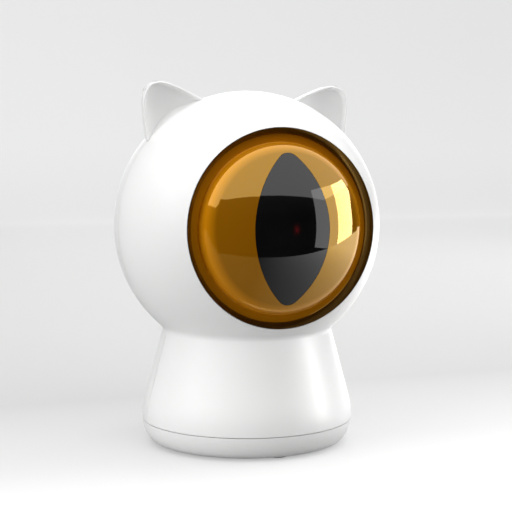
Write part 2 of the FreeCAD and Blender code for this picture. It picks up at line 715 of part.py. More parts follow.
def ear_bulb(inset):
    # The ear's back, turned about an upright axis in front of the seam, moved inward by inset.
    points = ear_points(EAR_AXIS_SHIFT, inset)
    foot = V(0, 0, points[0].z)
    peak = V(0, 0, points[-1].z)
    edges = [Part.makeLine(foot, points[0]), ear_curve(points)]
    edges += [Part.makeLine(points[-1], peak), Part.makeLine(peak, foot)]
    bulb = Part.Face(Part.Wire(edges)).revolve(V(0, 0, 0), Z_AXIS, 360)
    return set_ear(bulb, -EAR_AXIS_SHIFT)


def ear_slab(inset, y0, y1):
    # Straight-sided slice with the ear's front outline, moved inward by inset.
    points = ear_points(0, inset)
    right = ear_curve(points)
    left = mirrored(right)
    base = Part.makeLine(V(-points[0].x, 0, points[0].z), points[0])
    slab = face_of([base, right, left]).extrude(V(0, y1 - y0, 0))
    return set_ear(slab, y0)


def ear_bowl(extra):
    # Ball that hollows the scoop, its deepest point SCOOP_DEPTH behind the rim.
    middle = V(0, SCOOP_DEPTH - SCOOP_CURVE, EAR_SEAT + SCOOP_RISE)
    return set_ear(Part.makeSphere(SCOOP_CURVE + extra, middle), -EAR_FRONT)


def ear_foot():
    # Fillet that carries the scoop's floor up off the head, turned about the eye's axis.
    start = -EAR_FRONT - EAR_FOOT_START
    ring = math.sqrt(HEAD_RADIUS ** 2 - start ** 2) - EAR_FOOT_SINK
    bend = math.radians(EAR_FOOT_BEND)
    arc = []
    for angle in (0, bend / 2, bend):
        out = EAR_FOOT_FILLET * (1 - math.cos(angle))
        arc.append(V(ring + out, start + EAR_FOOT_FILLET * math.sin(angle), 0))
    reach = arc[2].add(V(math.sin(bend), math.cos(bend), 0) * EAR_LENGTH)
    corners = [arc[2], reach, V(ring - WALL, reach.y, 0), V(ring - WALL, start, 0), arc[0]]
    edges = [Part.Arc(arc[0], arc[1], arc[2]).toShape()]
    edges += [Part.makeLine(a, b) for a, b in zip(corners, corners[1:])]
    turned = Part.Face(Part.Wire(edges)).revolve(V(0, 0, 0), Y_AXIS, 360)
    turned.translate(V(0, 0, HEAD_HEIGHT))
    return turned


def head_ball(radius):
    return Part.makeSphere(radius, V(0, 0, HEAD_HEIGHT))


def ear_front():
    # Rim and scooped dish, which nests in the hollow of the ear's back.
    behind = layer(-HALF_GAP, FAR, 0, TOP)
    band = ear_slab(0, -EAR_FRONT, -HALF_GAP)
    dish = ear_bulb(EAR_WALL + LOOSE_GAP).common(ear_bowl(EAR_WALL - LOOSE_GAP))
    dish = dish.common(layer(-EAR_FRONT / 2, FAR, 0, TOP))
    dish = dish.cut(head_ball(HEAD_RADIUS + LOOSE_GAP).common(behind))
    scoop = ear_slab(EAR_RIM, -EAR_FRONT - OVER, EAR_FRONT).common(ear_bowl(0))
    scoop = scoop.cut(ear_foot()).cut(head_ball(HEAD_RADIUS - EAR_FOOT_SINK / 2))
    ear = band.fuse(dish).cut(scoop)
    return ear.cut(head_ball(HEAD_RADIUS - WALL / 2))


def ear_back():
    # Thin rounded back of the ear, open towards the front.
    hollow = ear_bulb(EAR_WALL).cut(head_ball(HEAD_RADIUS))
    back = ear_bulb(0).cut(hollow).cut(head_ball(HEAD_RADIUS - WALL / 2))
    return back.common(layer(HALF_GAP, FAR, 0, TOP))


# ------------------------------------------------------------------ housing

def shell_half(front):
    edge = HALF_GAP + BASE_SEAM_HEIGHT
    if not front:
        return skin(0).common(layer(HALF_GAP, FAR, edge, TOP)).cut(skin(WALL))
    half = skin(0).common(layer(-FAR, -HALF_GAP, edge, TOP))
    lip = skin(WALL - LIP_THICKNESS).common(layer(-HALF_GAP - OVER, LIP_REACH, LIP_BOTTOM, TOP))
    lip = lip.cut(box(-LIP_BREAK, LIP_BREAK, -FAR, FAR, HEAD_HEIGHT, TOP))
    return half.fuse(lip).cut(skin(WALL))


def front_shell():
    parts = []
    collar = rod_y(0, HEAD_HEIGHT, -FAR, -COLLAR_DEPTH, OPENING_RADIUS + COLLAR_THICKNESS)
    parts.append(inside(collar))
    for x, z in retainer_screw_places():
        boss = rod_y(x, z, -COLLAR_DEPTH - OVER, -RETAINER_TOP, RETAINER_BOSS_RADIUS)
        parts.append(inside(boss))
    for x, z in case_screw_places():
        boss = rod_y(x, z, -CASE_BOSS_DEPTH, -HALF_GAP, CASE_BOSS_RADIUS)
        web = web_y(x, z, -CASE_BOSS_DEPTH, -HALF_GAP - OVER, middle_for(z))
        parts.append(inside(boss.fuse(web)))
    for x, z in frame_screw_places():
        boss = rod_y(x, z, FRAME_BOSS_FRONT, CHEEK_FACE, FRAME_BOSS_RADIUS)
        web = web_y(x, z, FRAME_BOSS_FRONT, CHEEK_FACE - OVER, HEAD_HEIGHT)
        parts.append(inside(boss.fuse(web)))
    parts += base_bosses(True)
    parts += both_sides(ear_front())
    shell = shell_half(True).fuse(parts)
    cuts = [rod_y(0, HEAD_HEIGHT, -FAR, -RETAINER_BOTTOM, OPENING_RADIUS)]
    cuts += base_pilots()
    for x, z in retainer_screw_places():
        tip = RETAINER_BOTTOM + RETAINER_SCREW_LENGTH + SMALL_PILOT_END
        cuts.append(rod_y(x, z, -tip, -RETAINER_TOP + OVER, SMALL_SHANK + THREAD_GAP))
    for x, z in case_screw_places():
        tip = CASE_SEAT - CASE_SCREW_LENGTH - PILOT_END
        cuts.append(rod_y(x, z, tip, OVER, CASE_SHANK + THREAD_GAP))
    for x, z in frame_screw_places():
        tip = -CHEEK_SETBACK - FRAME_SCREW_LENGTH - PILOT_END
        cuts.append(rod_y(x, z, tip, CHEEK_FACE + OVER, CASE_SHANK + THREAD_GAP))
    return single(shell.cut(cuts))


def rear_rib(x):
    band = skin(WALL / 2).cut(skin(WALL + RIB_DEPTH))
    half = RIB_THICKNESS / 2
    low = HEAD_HEIGHT - RIB_START
    return band.common(box(x - half, x + half, RIB_START, FAR, low, HEAD_HEIGHT + RIB_TOP))


def rear_shell():
    groove = skin(WALL - LIP_THICKNESS - LOOSE_GAP).cut(skin(WALL + LOOSE_GAP))
    groove = groove.common(layer(0, LIP_REACH + LOOSE_GAP, LIP_BOTTOM - LOOSE_GAP, TOP))
    parts = []
    cuts = base_pilots() + [groove]
    web_start = LIP_REACH + 2 * LOOSE_GAP
    tunnel_radius = CASE_HEAD + 2 * LOOSE_GAP
    for x, z in case_screw_places():
        seat = rod_y(x, z, HALF_GAP, CASE_SEAT + OVER, CASE_BOSS_RADIUS)
        tunnel = rod_y(x, z, CASE_SEAT - WALL, FAR, tunnel_radius + CASE_TUNNEL_WALL)
        web = web_y(x, z, web_start, CASE_SEAT, middle_for(z))
        parts.append(inside(seat.fuse([tunnel, web])))
        cuts.append(rod_y(x, z, CASE_SEAT, FAR, tunnel_radius))
        cuts.append(rod_y(x, z, -OVER, CASE_SEAT + OVER, CASE_SHANK + SCREW_CLEARANCE))
    for x, z in board_screw_places():
        parts.append(inside(rod_y(x, z, BOARD_REAR, FAR, BOARD_BOSS_RADIUS)))
        tip = BOARD_FRONT + BOARD_SCREW_LENGTH + SMALL_PILOT_END
        cuts.append(rod_y(x, z, BOARD_REAR - OVER, tip, SMALL_SHANK + THREAD_GAP))
    parts.append(inside(rod_y(0, BUTTON_HEIGHT, BUTTON_PAD_FACE, FAR, BUTTON_PAD_RADIUS)))
    parts.append(inside(port_shape(WALL, PORT_FACE - WALL, FAR)))
    parts += [rear_rib(side * RIB_SPACING) for side in (-1, 0, 1)]
    parts += base_bosses(False)
    parts += both_sides(ear_back())
    opening = BUTTON_PAD_FACE - OVER
    cuts.append(rod_y(0, BUTTON_HEIGHT, opening, FAR, BUTTON_RADIUS + LOOSE_GAP))
    cuts.append(rod_y(0, LAMP_HEIGHT, opening, FAR, LAMP_RADIUS + CLOSE_GAP))
    cuts.append(port_shape(2 * LOOSE_GAP, BOARD_REAR, FAR))
    return single(shell_half(False).fuse(parts).cut(cuts))


def base_cover():
    seam = BASE_SEAM_HEIGHT - HALF_GAP
    hollow = skin(WALL).common(layer(-FAR, FAR, BASE_FLOOR_TOP, TOP))
    cup = skin(0).common(layer(-FAR, FAR, 0, seam)).cut(hollow)
    root = BASE_SEAM_HEIGHT - BASE_TONGUE_HEIGHT
    tongue_in = skin(WALL + LOOSE_GAP + BASE_TONGUE)
    ring = skin(WALL + LOOSE_GAP).cut(tongue_in).common(layer(-FAR, FAR, root, TONGUE_TOP))
    step = skin(WALL / 2).cut(tongue_in).common(layer(-FAR, FAR, root, seam))
    parts = [ring, step]
    cuts = []
    for x, y in base_screw_places():
        parts.append(rod_z(x, y, FOOT_STAND, TONGUE_TOP, BASE_BOSS_RADIUS))
        cuts.append(rod_z(x, y, -OVER, BASE_SCREW_SEAT, CASE_HEAD + LOOSE_GAP))
        cuts.append(rod_z(x, y, 0, TONGUE_TOP + OVER, CASE_SHANK + SCREW_CLEARANCE))
    inner = FOOT_EDGE_RADIUS - WALL - LOOSE_GAP - BASE_TONGUE
    for x, y in on_circle(BASE_GUSSET_COUNT, inner, 0):
        parts.append(inside(web_z(x, y, BASE_FLOOR_TOP - OVER, BASE_SEAM_HEIGHT - OVER)))
    for x, y in on_circle(PAD_COUNT, PAD_CIRCLE, 0):
        cuts.append(rod_z(x, y, -OVER, FOOT_STAND + PAD_SINK, PAD_RADIUS + LOOSE_GAP))
    return single(cup.fuse(parts).cut(cuts))


def foot_pads():
    pads = []
    for x, y in on_circle(PAD_COUNT, PAD_CIRCLE, 0):
        pad = rod_z(x, y, 0, FOOT_STAND + PAD_SINK, PAD_RADIUS)
        under = [e for e in pad.Edges if e.BoundBox.ZMax < 1e-6]
        pads.append(pad.makeFillet(FOOT_STAND / 2, under))
    return Part.makeCompound(pads)


def base_screws():
    one = screw(CASE_SHANK, CASE_HEAD, CASE_HEAD_HEIGHT, CASE_SCREW_LENGTH)
    down = V(0, 0, -1)
    spots = base_screw_places()
    return Part.makeCompound([aimed(one, V(x, y, BASE_SCREW_SEAT), down) for x, y in spots])


def shell_screws():
    one = screw(CASE_SHANK, CASE_HEAD, CASE_HEAD_HEIGHT, CASE_SCREW_LENGTH)
    spots = case_screw_places()
    return Part.makeCompound([aimed(one, V(x, CASE_SEAT, z), Y_AXIS) for x, z in spots])


# ------------------------------------------------------------------ eye

def eye_point(radius, depth):
    return V(radius, -depth, HEAD_HEIGHT)


def eye_turned(edges):
    return Part.Face(Part.Wire(edges)).revolve(V(0, 0, HEAD_HEIGHT), Y_AXIS, 360)


def eye_ring(pairs):
    points = [eye_point(radius, depth) for radius, depth in pairs]
    return polygon_face(points).revolve(V(0, 0, HEAD_HEIGHT), Y_AXIS, 360)


def cap_point(inset, share):
    # Point on the dome's cap, share of the way from the middle to the rolled edge.
    angle = math.asin(DOME_CAP_RADIUS / DOME_CURVE) * share
    radius = DOME_CURVE - inset
    depth = DOME_APEX - DOME_CURVE + radius * math.cos(angle)
    return eye_point(radius * math.sin(angle), depth)


def dome_arcs(inset):
    # Cap and rolled edge, from the middle outwards, moved inward by inset.
    angle = math.asin(DOME_CAP_RADIUS / DOME_CURVE)
    normal = V(math.sin(angle), -math.cos(angle), 0)
    shoulder = cap_point(0, 1)
    edge = eye_point(DOME_EDGE_RADIUS, DOME_EDGE_DEPTH)
    chord = edge.sub(shoulder)
    roll = -chord.dot(chord) / (2 * chord.dot(normal))
    middle = shoulder.sub(normal * roll)
    outward = edge.sub(middle).normalize()
    halfway = outward.add(normal).normalize()
    rolled = [middle.add(d * (roll - inset)) for d in (normal, halfway, outward)]
    cap = Part.Arc(cap_point(inset, 0), cap_point(inset, 0.5), rolled[0]).toShape()
    return cap, Part.Arc(rolled[0], rolled[1], rolled[2]).toShape(), rolled[2]


def eye_dome():
    cap, roll, edge = dome_arcs(0)
    inner_cap, inner_roll, inner_edge = dome_arcs(DOME_WALL)
    corners = [edge, eye_point(DOME_EDGE_RADIUS, LIP_REAR), eye_point(DOME_FLANGE_RADIUS, LIP_REAR)]
    corners += [eye_point(DOME_FLANGE_RADIUS, FLANGE_REAR)]
    corners += [eye_point(DOME_EDGE_RADIUS - DOME_WALL, FLANGE_REAR), inner_edge]
    rim = [Part.makeLine(a, b) for a, b in zip(corners, corners[1:])]
    spine = Part.makeLine(cap_point(DOME_WALL, 0), cap_point(0, 0))
    dome = eye_turned([cap, roll] + rim + [inner_roll, inner_cap, spine])
    return single(dome.cut(pupil_prism(0)))


def pupil_prism(grow):
    # Upright lens outline with rounded tips, grown by grow, right through the eye.
    # Each side is an arc about a point beyond the middle, tangent to the tips' rounds.
    wide = PUPIL_HALF_WIDTH + grow
    tip = PUPIL_TIP_RADIUS + grow
    high = PUPIL_HALF_HEIGHT + grow
    reach = high - tip
    side = (wide ** 2 + reach ** 2 - tip ** 2) / (2 * (wide - tip))
    meet_x = tip * (side - wide) / (side - tip)
    meet_z = side * reach / (side - tip)
    corners = [(meet_x, meet_z), (meet_x, -meet_z), (-meet_x, -meet_z), (-meet_x, meet_z)]
    peaks = [(wide, 0), (0, -high), (-wide, 0), (0, high)]
    edges = []
    for i in range(4):
        trio = (corners[i], peaks[i], corners[(i + 1) % 4])
        places = [V(x, -FAR, HEAD_HEIGHT + z) for x, z in trio]
        edges.append(Part.Arc(places[0], places[1], places[2]).toShape())
    return Part.Face(Part.Wire(edges)).extrude(V(0, FAR - GIMBAL_REACH, 0))


def cap_layer(outer, inner):
    middle = V(0, DOME_CURVE - DOME_APEX, HEAD_HEIGHT)
    ball = Part.makeSphere(DOME_CURVE - outer, middle)
    return ball.cut(Part.makeSphere(DOME_CURVE - inner, middle))


def pupil_window():
    behind = DOME_WALL + CLOSE_GAP
    plug = cap_layer(0, behind + CLOSE_GAP).common(pupil_prism(-CLOSE_GAP))
    flange = cap_layer(behind, behind + PUPIL_FLANGE_THICKNESS).common(pupil_prism(PUPIL_FLANGE))
    reach = DOME_CAP_RADIUS - DOME_WALL
    flange = flange.common(rod_y(0, HEAD_HEIGHT, -FAR, 0, reach))
    return single(plug.fuse(flange))


def boss_notches(y0, y1):
    radius = RETAINER_BOSS_RADIUS + LOOSE_GAP
    return [rod_y(x, z, y0, y1, radius) for x, z in retainer_screw_places()]


def bezel_ring():
    inner = BEZEL_RADIUS - BEZEL_FACE
    skirt = BEZEL_RADIUS - BEZEL_SKIRT
    flange = BEZEL_RADIUS + BEZEL_FLANGE
    pairs = [(inner, BEZEL_INNER_DEPTH), (BEZEL_RADIUS, RIM_DEPTH), (BEZEL_RADIUS, COLLAR_DEPTH)]
    pairs += [(flange, COLLAR_DEPTH), (flange, BEZEL_REAR), (skirt, BEZEL_REAR)]
    pairs += [(skirt, LIP_REAR), (inner, LIP_REAR)]
    return single(eye_ring(pairs).cut(boss_notches(-COLLAR_DEPTH, -BEZEL_REAR + OVER)))


def dome_gasket():
    pairs = [(RETAINER_INNER, GASKET_REAR), (GASKET_OUTER, GASKET_REAR)]
    pairs += [(GASKET_OUTER, FLANGE_REAR), (RETAINER_INNER, FLANGE_REAR)]
    return single(eye_ring(pairs))


def dome_retainer():
    # Ring that presses on the gasket and on the bezel's foot.
    step_in = BEZEL_RADIUS - BEZEL_SKIRT + LOOSE_GAP
    step_out = BEZEL_RADIUS + BEZEL_FLANGE - LOOSE_GAP
    pairs = [(RETAINER_INNER, RETAINER_BOTTOM), (RETAINER_OUTER, RETAINER_BOTTOM)]
    pairs += [(RETAINER_OUTER, RETAINER_TOP), (step_out, RETAINER_TOP), (step_out, BEZEL_REAR)]
    pairs += [(step_in, BEZEL_REAR), (step_in, RETAINER_TOP), (DOME_FLANGE_RADIUS, RETAINER_TOP)]
    pairs += [(DOME_FLANGE_RADIUS, GASKET_REAR), (RETAINER_INNER, GASKET_REAR)]
    ring = eye_ring(pairs).cut(boss_notches(-COLLAR_DEPTH, -RETAINER_TOP))
    hole = SMALL_SHANK + SCREW_CLEARANCE
    spots = retainer_screw_places()
    return single(ring.cut([rod_y(x, z, -COLLAR_DEPTH, 0, hole) for x, z in spots]))


def retainer_screws():
    one = screw(SMALL_SHANK, SMALL_HEAD, SMALL_HEAD_HEIGHT, RETAINER_SCREW_LENGTH)
    spots = retainer_screw_places()
    return Part.makeCompound([aimed(one, V(x, -RETAINER_BOTTOM, z), Y_AXIS) for x, z in spots])


# ------------------------------------------------------------------ board, port, button, battery

def main_board():
    wide = BOARD_HALF_WIDTH
    corners = [(-wide, BOARD_BOTTOM), (wide, BOARD_BOTTOM), (wide, BOARD_TOP), (-wide, BOARD_TOP)]
    points = [V(x, BOARD_FRONT, z) for x, z in corners]
    board = rounded_plate(points, BOARD_CORNER, V(0, BOARD_THICKNESS, 0))
    hole = SMALL_SHANK + SCREW_CLEARANCE
    return single(board.cut([rod_y(x, z, 0, FAR, hole) for x, z in board_screw_places()]))


def board_screws():
    one = screw(SMALL_SHANK, SMALL_HEAD, SMALL_HEAD_HEIGHT, BOARD_SCREW_LENGTH)
    spots = board_screw_places()
    return Part.makeCompound([aimed(one, V(x, BOARD_FRONT, z), V(0, -1, 0)) for x, z in spots])


def board_block(x, z, width, height, y0, y1):
    return box(x - width / 2, x + width / 2, y0, y1, z - height / 2, z + height / 2)


def board_parts():
    # Chips and sockets on the board's front, and the lamp on its rear.
    made = []
    for x, z, width, height, depth in BOARD_CHIPS:
        made.append(board_block(x, z, width, height, BOARD_FRONT - depth, BOARD_FRONT))
    x, z, radius, depth = BOARD_CAPACITOR
    made.append(rod_y(x, z, BOARD_FRONT - depth, BOARD_FRONT, radius))
    lamp = 2 * LAMP_RADIUS
    made.append(board_block(0, LAMP_HEIGHT, lamp, lamp, BOARD_REAR, BOARD_REAR + LAMP_BODY))
    return Part.makeCompound(made)


def vibration_sensor():
    # Upright can with a crimp groove.
    x, z = SENSOR_PLACE
    can = rod_y(x, z, BOARD_FRONT - SENSOR_LENGTH, BOARD_FRONT, SENSOR_RADIUS)
    start = BOARD_FRONT - SENSOR_GROOVE_PLACE
    end = start + SENSOR_GROOVE_WIDTH
    groove = rod_y(x, z, start, end, SENSOR_RADIUS + OVER)
    groove = groove.cut(rod_y(x, z, start, end, SENSOR_RADIUS - SENSOR_GROOVE_DEPTH))
    return single(can.cut(groove))


def power_switch():
    half = SWITCH_SIZE / 2
    top = BOARD_REAR + SWITCH_BODY
    body = box(-half, half, BOARD_REAR, top, BUTTON_HEIGHT - half, BUTTON_HEIGHT + half)
    corners = [e for e in body.Edges if e.BoundBox.YLength > SWITCH_BODY * 0.9]
    body = body.makeFillet(SWITCH_CORNER, corners)
    plunger = rod_y(0, BUTTON_HEIGHT, BOARD_REAR, PLUNGER_FACE, SWITCH_PLUNGER_RADIUS)
    return single(body.fuse(plunger))


def power_button():
    front = BUTTON_PAD_FACE - LOOSE_GAP
    back = front - BUTTON_FLANGE
    cap = skin(-BUTTON_PROUD).common(rod_y(0, BUTTON_HEIGHT, back, FAR, BUTTON_RADIUS))
    flange = rod_y(0, BUTTON_HEIGHT, back, front, BUTTON_RADIUS + BUTTON_FLANGE)
    stem_end = PLUNGER_FACE + CLOSE_GAP + BUTTON_TRAVEL
    stem = rod_y(0, BUTTON_HEIGHT, stem_end, front, SWITCH_PLUNGER_RADIUS)
    return single(cap.fuse([flange, stem]))


def status_lens():
    start = BOARD_REAR + LAMP_BODY + CLOSE_GAP
    return single(skin(0).common(rod_y(0, LAMP_HEIGHT, start, FAR, LAMP_RADIUS)))


def port_shape(extra, y0, y1):
    # The port's outline, wider all over by extra, pushed along Y.
    return obround_y(PORT_WIDTH + extra, PORT_THICKNESS + extra, 0, PORT_HEIGHT, y0, y1)


def usb_socket():
    hollow = port_shape(-2 * PORT_SKIN, PORT_FACE - PORT_DEPTH, FAR)
    return single(port_shape(0, BOARD_REAR, PORT_FACE).cut(hollow))


def usb_tongue():
    start = PORT_FACE - PORT_DEPTH
    end = start + TONGUE_LENGTH
    blade = board_block(0, PORT_HEIGHT, TONGUE_WIDTH, TONGUE_THICKNESS, start, end)
    tip = [e for e in blade.Edges if e.BoundBox.YMin > end - 1e-6]
    tip = [e for e in tip if e.BoundBox.XLength < 1e-6]
    return single(blade.makeFillet(TONGUE_THICKNESS, tip))


def battery_holder():
    room = CELL_LENGTH / 2 + CONTACT_ROOM
    half = room + HOLDER_WALL
    side = CELL_RADIUS + LOOSE_GAP + HOLDER_WALL
    top = BASE_FLOOR_TOP + HOLDER_HEIGHT
    tray = box(-half, half, CELL_SETBACK - side, CELL_SETBACK + side, BASE_FLOOR_TOP, top)
    corners = [e for e in tray.Edges if e.BoundBox.ZLength > HOLDER_HEIGHT / 2]
    tray = tray.makeFillet(HOLDER_WALL, corners)
    trough = rod_x(CELL_SETBACK, CELL_HEIGHT, -room, room, CELL_RADIUS + LOOSE_GAP)
    across = CELL_RADIUS / 2
    low = BASE_FLOOR_TOP - OVER
    window = box(-room / 2, room / 2, CELL_SETBACK - across, CELL_SETBACK + across, low, top)
    return single(tray.cut([trough, window]))


def battery_cell():
    half = CELL_LENGTH / 2
    shoulder = half - CELL_RIM
    can = rod_x(CELL_SETBACK, CELL_HEIGHT, -half, shoulder, CELL_RADIUS)
    rims = [e for e in can.Edges if e.BoundBox.XLength < 1e-6 and e.BoundBox.YLength > CELL_RADIUS]
    can = can.makeFillet(CELL_RIM, rims)
    nub = rod_x(CELL_SETBACK, CELL_HEIGHT, shoulder - OVER, half, CELL_NUB_RADIUS)
    return single(can.fuse(nub))


def battery_contacts():
    start = CELL_LENGTH / 2 + LOOSE_GAP
    end = start + CONTACT_ROOM - LOOSE_GAP
    low = CELL_HEIGHT - CELL_RADIUS + CONTACT_LIFT
    half = CONTACT_HALF_WIDTH
    plate = box(start, end, CELL_SETBACK - half, CELL_SETBACK + half, low, CELL_HEIGHT + half)
    return Part.makeCompound(both_sides(plate))


# ------------------------------------------------------------------ pan and tilt mechanism

def frame_floor():
    wide = FRAME_HALF_WIDTH
    narrow = PAN_MOTOR_RADIUS + 2 * MOTOR_LUG
    half_plan = [(wide, FRAME_FRONT), (wide, -CHEEK_SETBACK), (narrow, FRAME_REAR)]
    plan = half_plan + [(-x, y) for x, y in half_plan[::-1]]
    points = [V(x, y, FRAME_BOTTOM) for x, y in plan]
    return rounded_plate(points, FRAME_CORNER, V(0, 0, FRAME_THICKNESS))


def frame_cheek():
    # Upright plate that the frame screws hold to the front shell, with its brace.
    root = FRAME_HALF_WIDTH - CHEEK_ROOT
    top = HEAD_HEIGHT + CHEEK_RISE
    low = HEAD_HEIGHT - CHEEK_RISE
    edge = CHEEK_OUTER - CHEEK_TAPER
    outline = [(root, FRAME_BOTTOM), (CHEEK_OUTER - CHEEK_FOOT, FRAME_BOTTOM), (edge, low)]
    outline += [(CHEEK_OUTER, low + CHEEK_TAPER_RUN), (CHEEK_OUTER, top - CHEEK_TAPER_RUN)]
    outline += [(edge, top), (CHEEK_INNER, top), (CHEEK_INNER, low + CHEEK_BEND)]
    outline += [(root, FRAME_TOP)]
    points = [V(x, -CHEEK_SETBACK, z) for x, z in outline]
    cheek = polygon_face(points).extrude(V(0, -FRAME_THICKNESS, 0))
    middle = (CHEEK_INNER + CHEEK_OUTER) / 2
    half = FRAME_SCREW_RISE / 2
    across = CHEEK_WINDOW / 2
    window = box(middle - across, middle + across, -FAR, 0, HEAD_HEIGHT - half, HEAD_HEIGHT + half)
    far = CHEEK_FACE - BRACE_REACH
    low = FRAME_TOP - OVER
    side = [(CHEEK_FACE, low), (far, low), (far, FRAME_TOP), (CHEEK_FACE, FRAME_TOP + BRACE_RISE)]
    brace = polygon_face([V(root, y, z) for y, z in side]).extrude(V(BRACE_THICKNESS, 0, 0))
    return cheek.cut(window).fuse(brace)


def frame_slot(x):
    # Rounded slot in the floor for the wires.
    wide = SLOT_WIDTH / 2
    long = SLOT_LENGTH / 2
    slot = box(x - wide, x + wide, PAN_Y - long, PAN_Y + long, 0, TOP)
    return slot.makeFillet(SLOT_CORNER, [e for e in slot.Edges if e.BoundBox.ZLength > TOP / 2])


def mechanism_frame():
    post_top = HUB_TOP + SCREW_CLEARANCE
    post = rod_z(0, PAN_Y, FRAME_TOP - OVER, post_top, PIVOT_RADIUS)
    frame = frame_floor().fuse(both_sides(frame_cheek()) + [post])
    pilot_end = post_top - PIVOT_SCREW_LENGTH - PILOT_END
    cuts = [rod_z(0, PAN_Y, pilot_end, TOP, CASE_SHANK + THREAD_GAP)]
    cuts.append(rod_z(0, PAN_PINION_Y, 0, TOP, MOTOR_BOSS_RADIUS + LOOSE_GAP))
    for side in (-1, 1):
        reach = side * (PAN_MOTOR_RADIUS + MOTOR_LUG_REACH)
        cuts.append(rod_z(reach, PAN_PINION_Y, 0, TOP, SMALL_SHANK + SCREW_CLEARANCE))
        cuts.append(frame_slot(side * SLOT_SPREAD))
    for x, z in frame_screw_places():
        cuts.append(rod_y(x, z, -FAR, 0, CASE_SHANK + SCREW_CLEARANCE))
    return single(frame.cut(cuts))


def frame_screws():
    one = screw(CASE_SHANK, CASE_HEAD, CASE_HEAD_HEIGHT, FRAME_SCREW_LENGTH)
    spots = frame_screw_places()
    return Part.makeCompound([aimed(one, V(x, -CHEEK_SETBACK, z), Y_AXIS) for x, z in spots])


def motor(radius, length, shaft):
    # Small geared motor hung below z = 0: flange with two screw lugs, boss, can and terminals.
    can = Part.makeCylinder(radius, length, V(0, 0, -MOTOR_FLANGE - length))
    ends = [e for e in can.Edges if e.BoundBox.ZLength < 1e-6 and e.BoundBox.ZMin < -length]
    can = can.makeFillet(MOTOR_ROUND, [e for e in ends if e.BoundBox.XLength > radius])
    reach = radius + MOTOR_LUG_REACH
    parts = [box(-reach, reach, -MOTOR_LUG, MOTOR_LUG, -MOTOR_FLANGE, 0)]
    parts += [rod_z(side * reach, 0, -MOTOR_FLANGE, 0, MOTOR_LUG) for side in (-1, 1)]
    parts.append(rod_z(0, 0, -MOTOR_FLANGE, MOTOR_BOSS_HEIGHT, MOTOR_BOSS_RADIUS))
    half = radius / 2
    face = -radius - TERMINAL_PROUD
    low = -MOTOR_FLANGE - length * TERMINAL_START
    high = -MOTOR_FLANGE - length * TERMINAL_END
    parts.append(box(-half, half, face, face + TERMINAL_DEPTH, low, high))
    cuts = [rod_z(0, 0, -length / 2, FAR, shaft + RUNNING_GAP)]
    cuts += [rod_z(side * reach, 0, -FAR, FAR, SMALL_SHANK + THREAD_GAP) for side in (-1, 1)]
    return single(can.fuse(parts).cut(cuts))


def pinion(module, phase, shaft):
    # Small driving gear with a short hub, its teeth from z = 0 up.
    gear = gear_blank(module, PINION_TEETH, 1.0, phase, PINION_FACE)
    return single(gear.cut(Part.makeCylinder(shaft + THREAD_GAP, 2 * FAR, V(0, 0, -FAR))))


def pan_motor():
    body = motor(PAN_MOTOR_RADIUS, PAN_MOTOR_LENGTH, PAN_SHAFT_RADIUS)
    body.translate(V(0, PAN_PINION_Y, FRAME_BOTTOM))
    return body


def pan_motor_screws():
    one = screw(SMALL_SHANK, SMALL_HEAD, SMALL_HEAD_HEIGHT, MOTOR_SCREW_LENGTH)
    reach = PAN_MOTOR_RADIUS + MOTOR_LUG_REACH
    seats = [V(side * reach, PAN_PINION_Y, FRAME_TOP) for side in (-1, 1)]
    return Part.makeCompound([aimed(one, seat, Z_AXIS) for seat in seats])


def pan_shaft():
    bottom = FRAME_BOTTOM - PAN_MOTOR_LENGTH / 2 + PILOT_END
    top = SECTOR_BOTTOM + PINION_FACE
    rod = rod_z(0, PAN_PINION_Y, bottom, top, PAN_SHAFT_RADIUS)
    tip = [e for e in rod.Edges if e.BoundBox.ZMin > top - 1e-6]
    return single(rod.makeChamfer(PAN_SHAFT_RADIUS / 4, tip))


def pan_pinion():
    gear = pinion(PAN_MODULE, math.radians(270), PAN_SHAFT_RADIUS)
    gear.translate(V(0, PAN_PINION_Y, SECTOR_BOTTOM - LOOSE_GAP))
    return gear


def pan_sector():
    pitch_angle = 2 * math.pi / PAN_SECTOR_TEETH
    phase = math.radians(90) + pitch_angle / 2
    gear = gear_blank(PAN_MODULE, PAN_SECTOR_TEETH, SECTOR_ADDENDUM, phase, SECTOR_THICKNESS)
    low, high = 90 - PAN_SECTOR_HALF, 90 + PAN_SECTOR_HALF
    sector = sector_of(gear, PAN_PITCH, low, high, SECTOR_THICKNESS)
    ring = Part.makeCylinder(HUB_RADIUS + RELIEF_RING, FAR)
    relief = Part.makeCylinder(PAN_PITCH * RELIEF_SHARE, FAR).cut(ring)
    relief = sector_of(relief, PAN_PITCH, low + RELIEF_MARGIN, high - RELIEF_MARGIN, FAR)
    sector = sector.cut(relief)
    sector.translate(V(0, PAN_Y, SECTOR_BOTTOM))
    return sector


def arm_profile(reach_back):
    # Side view of a yoke arm as (y, z): wide foot, round head at the tilt axis.
    foot = YOKE_FLOOR_BOTTOM
    half = ARM_HALF_WIDTH
    head = TRUNNION_RADIUS + ARM_MARGIN
    pairs = [(PAN_Y - half, foot), (PAN_Y + half, foot)]
    if reach_back:
        rise = TILT_MOTOR_RADIUS + ARM_TAIL
        far = TILT_PINION_Y + ARM_TAIL
        pairs += [(far, HEAD_HEIGHT - rise), (far, HEAD_HEIGHT + rise)]
        pairs += [(TILT_PINION_Y - ARM_TAIL, HEAD_HEIGHT + rise), (PAN_Y, HEAD_HEIGHT + head)]
    else:
        pairs += [(PAN_Y + head, HEAD_HEIGHT)]
    pairs += [(PAN_Y - head, HEAD_HEIGHT)]
    return pairs


